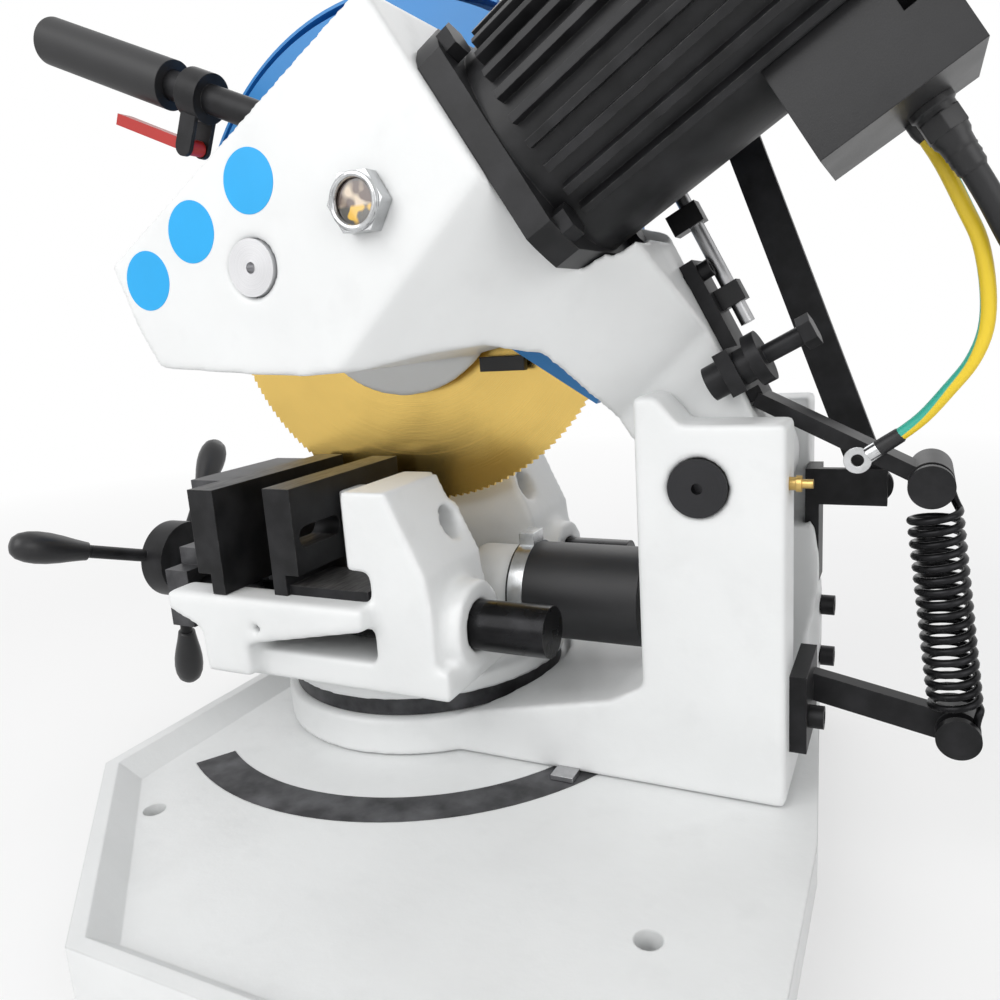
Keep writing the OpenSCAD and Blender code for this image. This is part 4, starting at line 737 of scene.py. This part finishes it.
class SAW_OT_cords(bpy.types.Operator):
    """Supply cable with its gland, coil, tie and plug, and the earth lead with its sleeve."""
    bl_idname = "saw.cords"
    bl_label = "Cords"

    # Profiles are (radius, height) in millimetres from the end of a cord.
    PLUG = [(0, 0), (6.4, 0), (7.2, 1), (9.6, 18), (10, 20), (17, 22), (20, 26), (20.6, 40), (20.6, 62),
            (21.8, 64), (22, 66), (22, 106), (21, 108), (18.5, 108), (18.5, 92), (0, 92)]
    PIN = [(0, 0), (2.4, 0), (2.4, 14), (1.6, 16), (0, 16)]
    PINS = 3
    PIN_CIRCLE = 9
    PIN_FOOT = 91.5

    GLAND = [(0, -20), (9.9, -20), (9.9, -17), (8.8, -16), (8.8, -13)]
    GLAND_TAIL = [(8.4, -5), (8.2, -2), (7.2, 0), (6.9, 4), (7.1, 5), (6.6, 6), (6.9, 9), (6.4, 10),
                  (6.5, 13), (6.0, 14), (5.5, 15)]
    NUT_ACROSS = 19.6
    NUT_HIGH = 9
    NUT_FOOT = 13.5
    NUT_EDGE = 0.6
    LEAD_GLAND = [(0, 0), (4.8, 0), (4.8, 5), (4.2, 8), (3.6, 10)]
    SLEEVE = [(3.55, -13), (4.0, -12), (4.2, -1), (4.2, 2), (3.6, 3)]

    # The tie: width, play round the runs, the power that squares its ring, and the mean turn of the runs.
    TIE_WIDE = 8
    TIE_PLAY = 0.2
    TIE_POWER = 0.35
    TIE_TURN = 0.75

    def execute(self, context):
        cable = cable_line()
        plug = self.plug(cable[-1])
        boot = self.gland_boot(cable)
        tube = tube_mesh(cable, CABLE_D / 2 * MM, "supply_cord", CORD_RESOLUTION)
        cord = add_piece("supply_cord", tube, "rubber", None, ("supply_cable", "cable_coil"))
        spot(415, -40, 95)
        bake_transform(cord)
        length_of(cable)
        self.tie()
        lead = lead_line()
        tube = tube_mesh(lead, LEAD_D / 2 * MM, "earth_sheath", CORD_RESOLUTION)
        sheath = add_piece("earth_sheath", tube, "lead", "head", ("earth_lead",))
        sleeve = self.sleeve(lead)
        length_of(lead)
        return {"FINISHED"}

    def plug(self, end):
        bm = bmesh.new()
        lathe(bm, self.PLUG, end, NEARWARD)
        for turn in range(self.PINS):
            angle = math.tau * turn / self.PINS + math.pi / 2
            out = (self.PIN_CIRCLE * math.cos(angle), -self.PIN_FOOT, self.PIN_CIRCLE * math.sin(angle))
            lathe(bm, self.PIN, end + Vector(out) * MM, NEARWARD, steps=16)
        body = mesh_of(bm, "plug_body")
        return add_piece("plug_body", body, "plastic", "arm", ("supply_plug",))

    def tie(self):
        """A strap round the four runs of the coil on its far side."""
        bm = bmesh.new()
        ring = bmesh.ops.create_circle(bm, segments=48, radius=1)["verts"]
        middle = spot(COIL_MID[0] - self.TIE_WIDE / 2, COIL_MID[1] + COIL_R - COIL_STEP * self.TIE_TURN,
                      CABLE_REST + COIL_STEP / 2)
        half = ((COIL_STEP + CABLE_D) / 2 + self.TIE_PLAY) * MM
        for vert in ring:
            y, z = (math.copysign(abs(c) ** self.TIE_POWER, c) * half for c in vert.co[:2])
            vert.co = middle + Vector((0, y, z))
        wide = bmesh.ops.extrude_edge_only(bm, edges=bm.edges[:])["geom"]
        moved_out(bm, wide, (self.TIE_WIDE * MM, 0, 0))
        return add_piece("coil_tie", mesh_of(bm, "coil_tie"), "plastic", "arm")

    def gland_boot(self, cable):
        bm = bmesh.new()
        axis = (cable[1] - cable[0]).normalized()
        lathe(bm, self.GLAND, cable[0], axis)
        nut_foot = cable[0] - axis * self.NUT_FOOT * MM
        hexagon(bm, self.NUT_ACROSS, self.NUT_HIGH, nut_foot, axis, self.NUT_EDGE)
        lathe(bm, self.GLAND_TAIL, cable[0], axis)
        a, y, b = LEAD_EXIT
        high = self.LEAD_GLAND[-1][1]
        lathe(bm, self.LEAD_GLAND, case_spot(a, y, b + high), axis, steps=24)
        boot = mesh_of(bm, "gland_boot")
        return add_piece("gland_boot", boot, "plastic", "head", ("cable_gland",))

    def sleeve(self, lead):
        bm = bmesh.new()
        axis = (lead[-1] - lead[-2]).normalized()
        lathe(bm, self.SLEEVE, lead[-1], axis, steps=24)
        return add_piece("lead_sleeve", mesh_of(bm, "lead_sleeve"), "rubber", "head")


class SAW_OT_spring(bpy.types.Operator):
    """Return spring: a hook round each pin and curls between them."""
    bl_idname = "saw.spring"
    bl_label = "Return spring"

    LOW = (348, -40, 39.2)
    HIGH = (331, -40, 173.4)
    WIRE_R = 2
    WIRE_RESOLUTION = 3
    CURL_R = 11.5
    CURL_START = 14.5
    CURLS = 17
    CURL_STEPS = 24
    HOOK_R = 8.5
    HOOK_SWEEP = 200
    HOOK_STEPS = 24
    JOIN_RUN = 8
    JOIN_SWAY = 6
    JOIN_STEPS = 10

    def execute(self, context):
        low = Vector(self.LOW)
        high = Vector(self.HIGH)
        axis = (high - low).normalized()
        side = Vector((0, 1, 0))
        front = side.cross(axis)
        span = (high - low).length
        pitch = (span - 2 * self.CURL_START) / self.CURLS

        def point(out, across, along):
            return low + front * out + side * across + axis * along

        def curl(s):
            turn = math.tau * s
            along = self.CURL_START + pitch * s
            return point(self.CURL_R * math.cos(turn), self.CURL_R * math.sin(turn), along)

        def hook(step, upper):
            lean = math.radians(self.HOOK_SWEEP * step / self.HOOK_STEPS)
            along = self.HOOK_R * math.sin(lean)
            return point(self.HOOK_R * math.cos(lean), 0, span + along if upper else -along)

        def joined(p, q, r, s):
            return [cubic(p, q, r, s, k / self.JOIN_STEPS) for k in range(1, self.JOIN_STEPS + 1)]

        foot = hook(0, False)
        top = hook(0, True)
        first = curl(0)
        last = curl(self.CURLS)
        run = axis * self.JOIN_RUN
        sway = side * self.JOIN_SWAY
        line = [hook(k, False) for k in range(self.HOOK_STEPS, -1, -1)]
        line += joined(foot, foot + run, first - sway, first)
        line += [curl(k / self.CURL_STEPS) for k in range(1, self.CURLS * self.CURL_STEPS + 1)]
        line += joined(last, last + sway, top - run, top)
        line += [hook(k, True) for k in range(1, self.HOOK_STEPS + 1)]
        mesh = tube_mesh([spot(*p) for p in line], self.WIRE_R * MM, "spring_wire", self.WIRE_RESOLUTION)
        wire = add_piece("spring_wire", mesh, "bar", None, ("return_spring",))
        spot(*self.LOW)
        spot(*self.HIGH)
        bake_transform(wire)
        return {"FINISHED"}


class SAW_OT_castings(bpy.types.Operator):
    """Head, arm and vise castings with rounded edges and fillets."""
    bl_idname = "saw.castings"
    bl_label = "Castings"

    # Solid, new shell, finish, body and rounds of smoothing.
    CASTS = (("head_casting", "head_shell", "case", "head", 5),
             ("swivel_arm", "arm_shell", "casting", "arm", 5),
             ("vise_body", "vise_shell", "casting", "base", 7))
    SMOOTHING = 0.5

    def execute(self, context):
        for cast in self.CASTS:
            self.cast(*cast)
        return {"FINISHED"}

    def cast(self, node, name, finish, body, rounds):
        mesh = NODES[node].data.copy()
        bm = bmesh.new()
        bm.from_mesh(mesh)
        bmesh.ops.remove_doubles(bm, verts=bm.verts, dist=WELD)
        bm.to_mesh(mesh)
        bm.free()
        rough = bpy.data.objects.new(name + "_rough", mesh)
        bpy.context.scene.collection.objects.link(rough)
        block = rough.modifiers.new("grid", "REMESH")
        block.mode = "VOXEL"
        block.voxel_size = sizes().casting_grid
        block.use_smooth_shade = True
        soft = rough.modifiers.new("soft", "SMOOTH")
        soft.factor = self.SMOOTHING
        soft.iterations = rounds
        solid = rough.evaluated_get(bpy.context.evaluated_depsgraph_get())
        shell = bpy.data.meshes.new_from_object(solid)
        bpy.data.objects.remove(rough)
        shell.name = name
        add_piece(name, shell, finish, body, (node,))


class SAW_OT_handwheel(bpy.types.Operator):
    """Grips of the handwheel, turned with a waist and a rounded end."""
    bl_idname = "saw.handwheel"
    bl_label = "Handwheel grips"

    HUB = (-220, -22, 95)
    FIRST_TURN = 41
    GRIPS = 3
    LEAN = math.radians(16.7)
    GRIP = [(0, 75), (5.6, 75), (7.0, 76), (7.4, 79), (8.6, 86), (10.4, 95), (11.7, 104), (12, 112),
            (11.3, 119), (9.4, 125), (6.4, 128.5), (3, 129.8), (0, 130)]

    def execute(self, context):
        bm = bmesh.new()
        spoke = Matrix.Rotation(self.LEAN, 3, "Z") @ Vector((0, 1, 0))
        for k in range(self.GRIPS):
            spin = Matrix.Rotation(math.radians(self.FIRST_TURN + k * 360 / self.GRIPS), 3, "X")
            lathe(bm, self.GRIP, spot(*self.HUB), spin @ spoke, steps=40)
        grips = mesh_of(bm, "wheel_grips")
        add_piece("wheel_grips", grips, "plastic", "wheel", ("handwheel_grips",))
        return {"FINISHED"}


class SAW_OT_discs(bpy.types.Operator):
    """Plain blue round stickers on the gear case."""
    bl_idname = "saw.discs"
    bl_label = "Round stickers"

    SPOTS = ((-71.7, 304.4), (-34.3, 327.3), (9.5, 348.1))
    RIM_SHARE = 0.6
    BEVEL = 0.15

    def execute(self, context):
        bm = bmesh.new()
        radius = sizes().disc_radius / MM
        high = sizes().disc_high / MM
        profile = [(0, 0), (radius, 0), (radius, high * self.RIM_SHARE), (radius - self.BEVEL, high),
                   (0, high)]
        for x, z in self.SPOTS:
            lathe(bm, profile, spot(x, CASE_NEAR, z), NEARWARD, steps=64)
        add_piece("case_discs", mesh_of(bm, "case_discs"), "disc", "head")
        return {"FINISHED"}


class SAW_OT_sight(bpy.types.Operator):
    """Round bezel in front of the oil sight glass."""
    bl_idname = "saw.sight"
    bl_label = "Sight glass bezel"

    STAND_OFF = 9
    BEZEL = [(10.6, -0.5), (10.6, 0.8), (11.2, 1.7), (12.3, 2.1), (13.4, 1.7), (13.9, 0.8), (13.9, -0.5),
             (10.6, -0.5)]

    def execute(self, context):
        bm = bmesh.new()
        x, z = SIGHT
        lathe(bm, self.BEZEL, spot(x, CASE_NEAR - self.STAND_OFF, z), NEARWARD, steps=64)
        add_piece("sight_bezel", mesh_of(bm, "sight_bezel"), "chrome", "head")
        return {"FINISHED"}


class SAW_OT_finishes(bpy.types.Operator):
    """A finish on every listed solid, also on those that a new piece stands in for."""
    bl_idname = "saw.finishes"
    bl_label = "Finishes"

    def execute(self, context):
        for finish, names in NODE_FINISH.items():
            for name in names:
                mesh = NODES[name].data
                mesh.materials.clear()
                mesh.materials.append(finish_of(finish))
        return {"FINISHED"}


STEPS = (SAW_OT_stage, SAW_OT_cords, SAW_OT_spring, SAW_OT_castings, SAW_OT_handwheel, SAW_OT_discs,
         SAW_OT_sight, SAW_OT_finishes)


class SAW_PT_panel(bpy.types.Panel):
    """The saw's steps in the sidebar."""
    bl_idname = "SAW_PT_panel"
    bl_label = "Cold saw"
    bl_space_type = "VIEW_3D"
    bl_region_type = "UI"
    bl_category = "Saw"

    def draw(self, context):
        for step in STEPS:
            self.layout.operator(step.bl_idname)


GROUPS = {"saw_finishes": SawFinishes, "saw_sizes": SawSizes, "saw_stage": SawStage}


def register():
    for group in GROUPS.values():
        bpy.utils.register_class(group)
    for step in (*STEPS, SAW_PT_panel):
        bpy.utils.register_class(step)
    for name, group in GROUPS.items():
        setattr(bpy.types.Scene, name, bpy.props.PointerProperty(type=group))


def unregister():
    for name in GROUPS:
        delattr(bpy.types.Scene, name)
    for step in (*STEPS, SAW_PT_panel, *GROUPS.values()):
        bpy.utils.unregister_class(step)


def main():
    register()
    for step in STEPS:
        group, name = step.bl_idname.split(".")
        getattr(getattr(bpy.ops, group), name)()


if __name__ == "__main__":
    main()
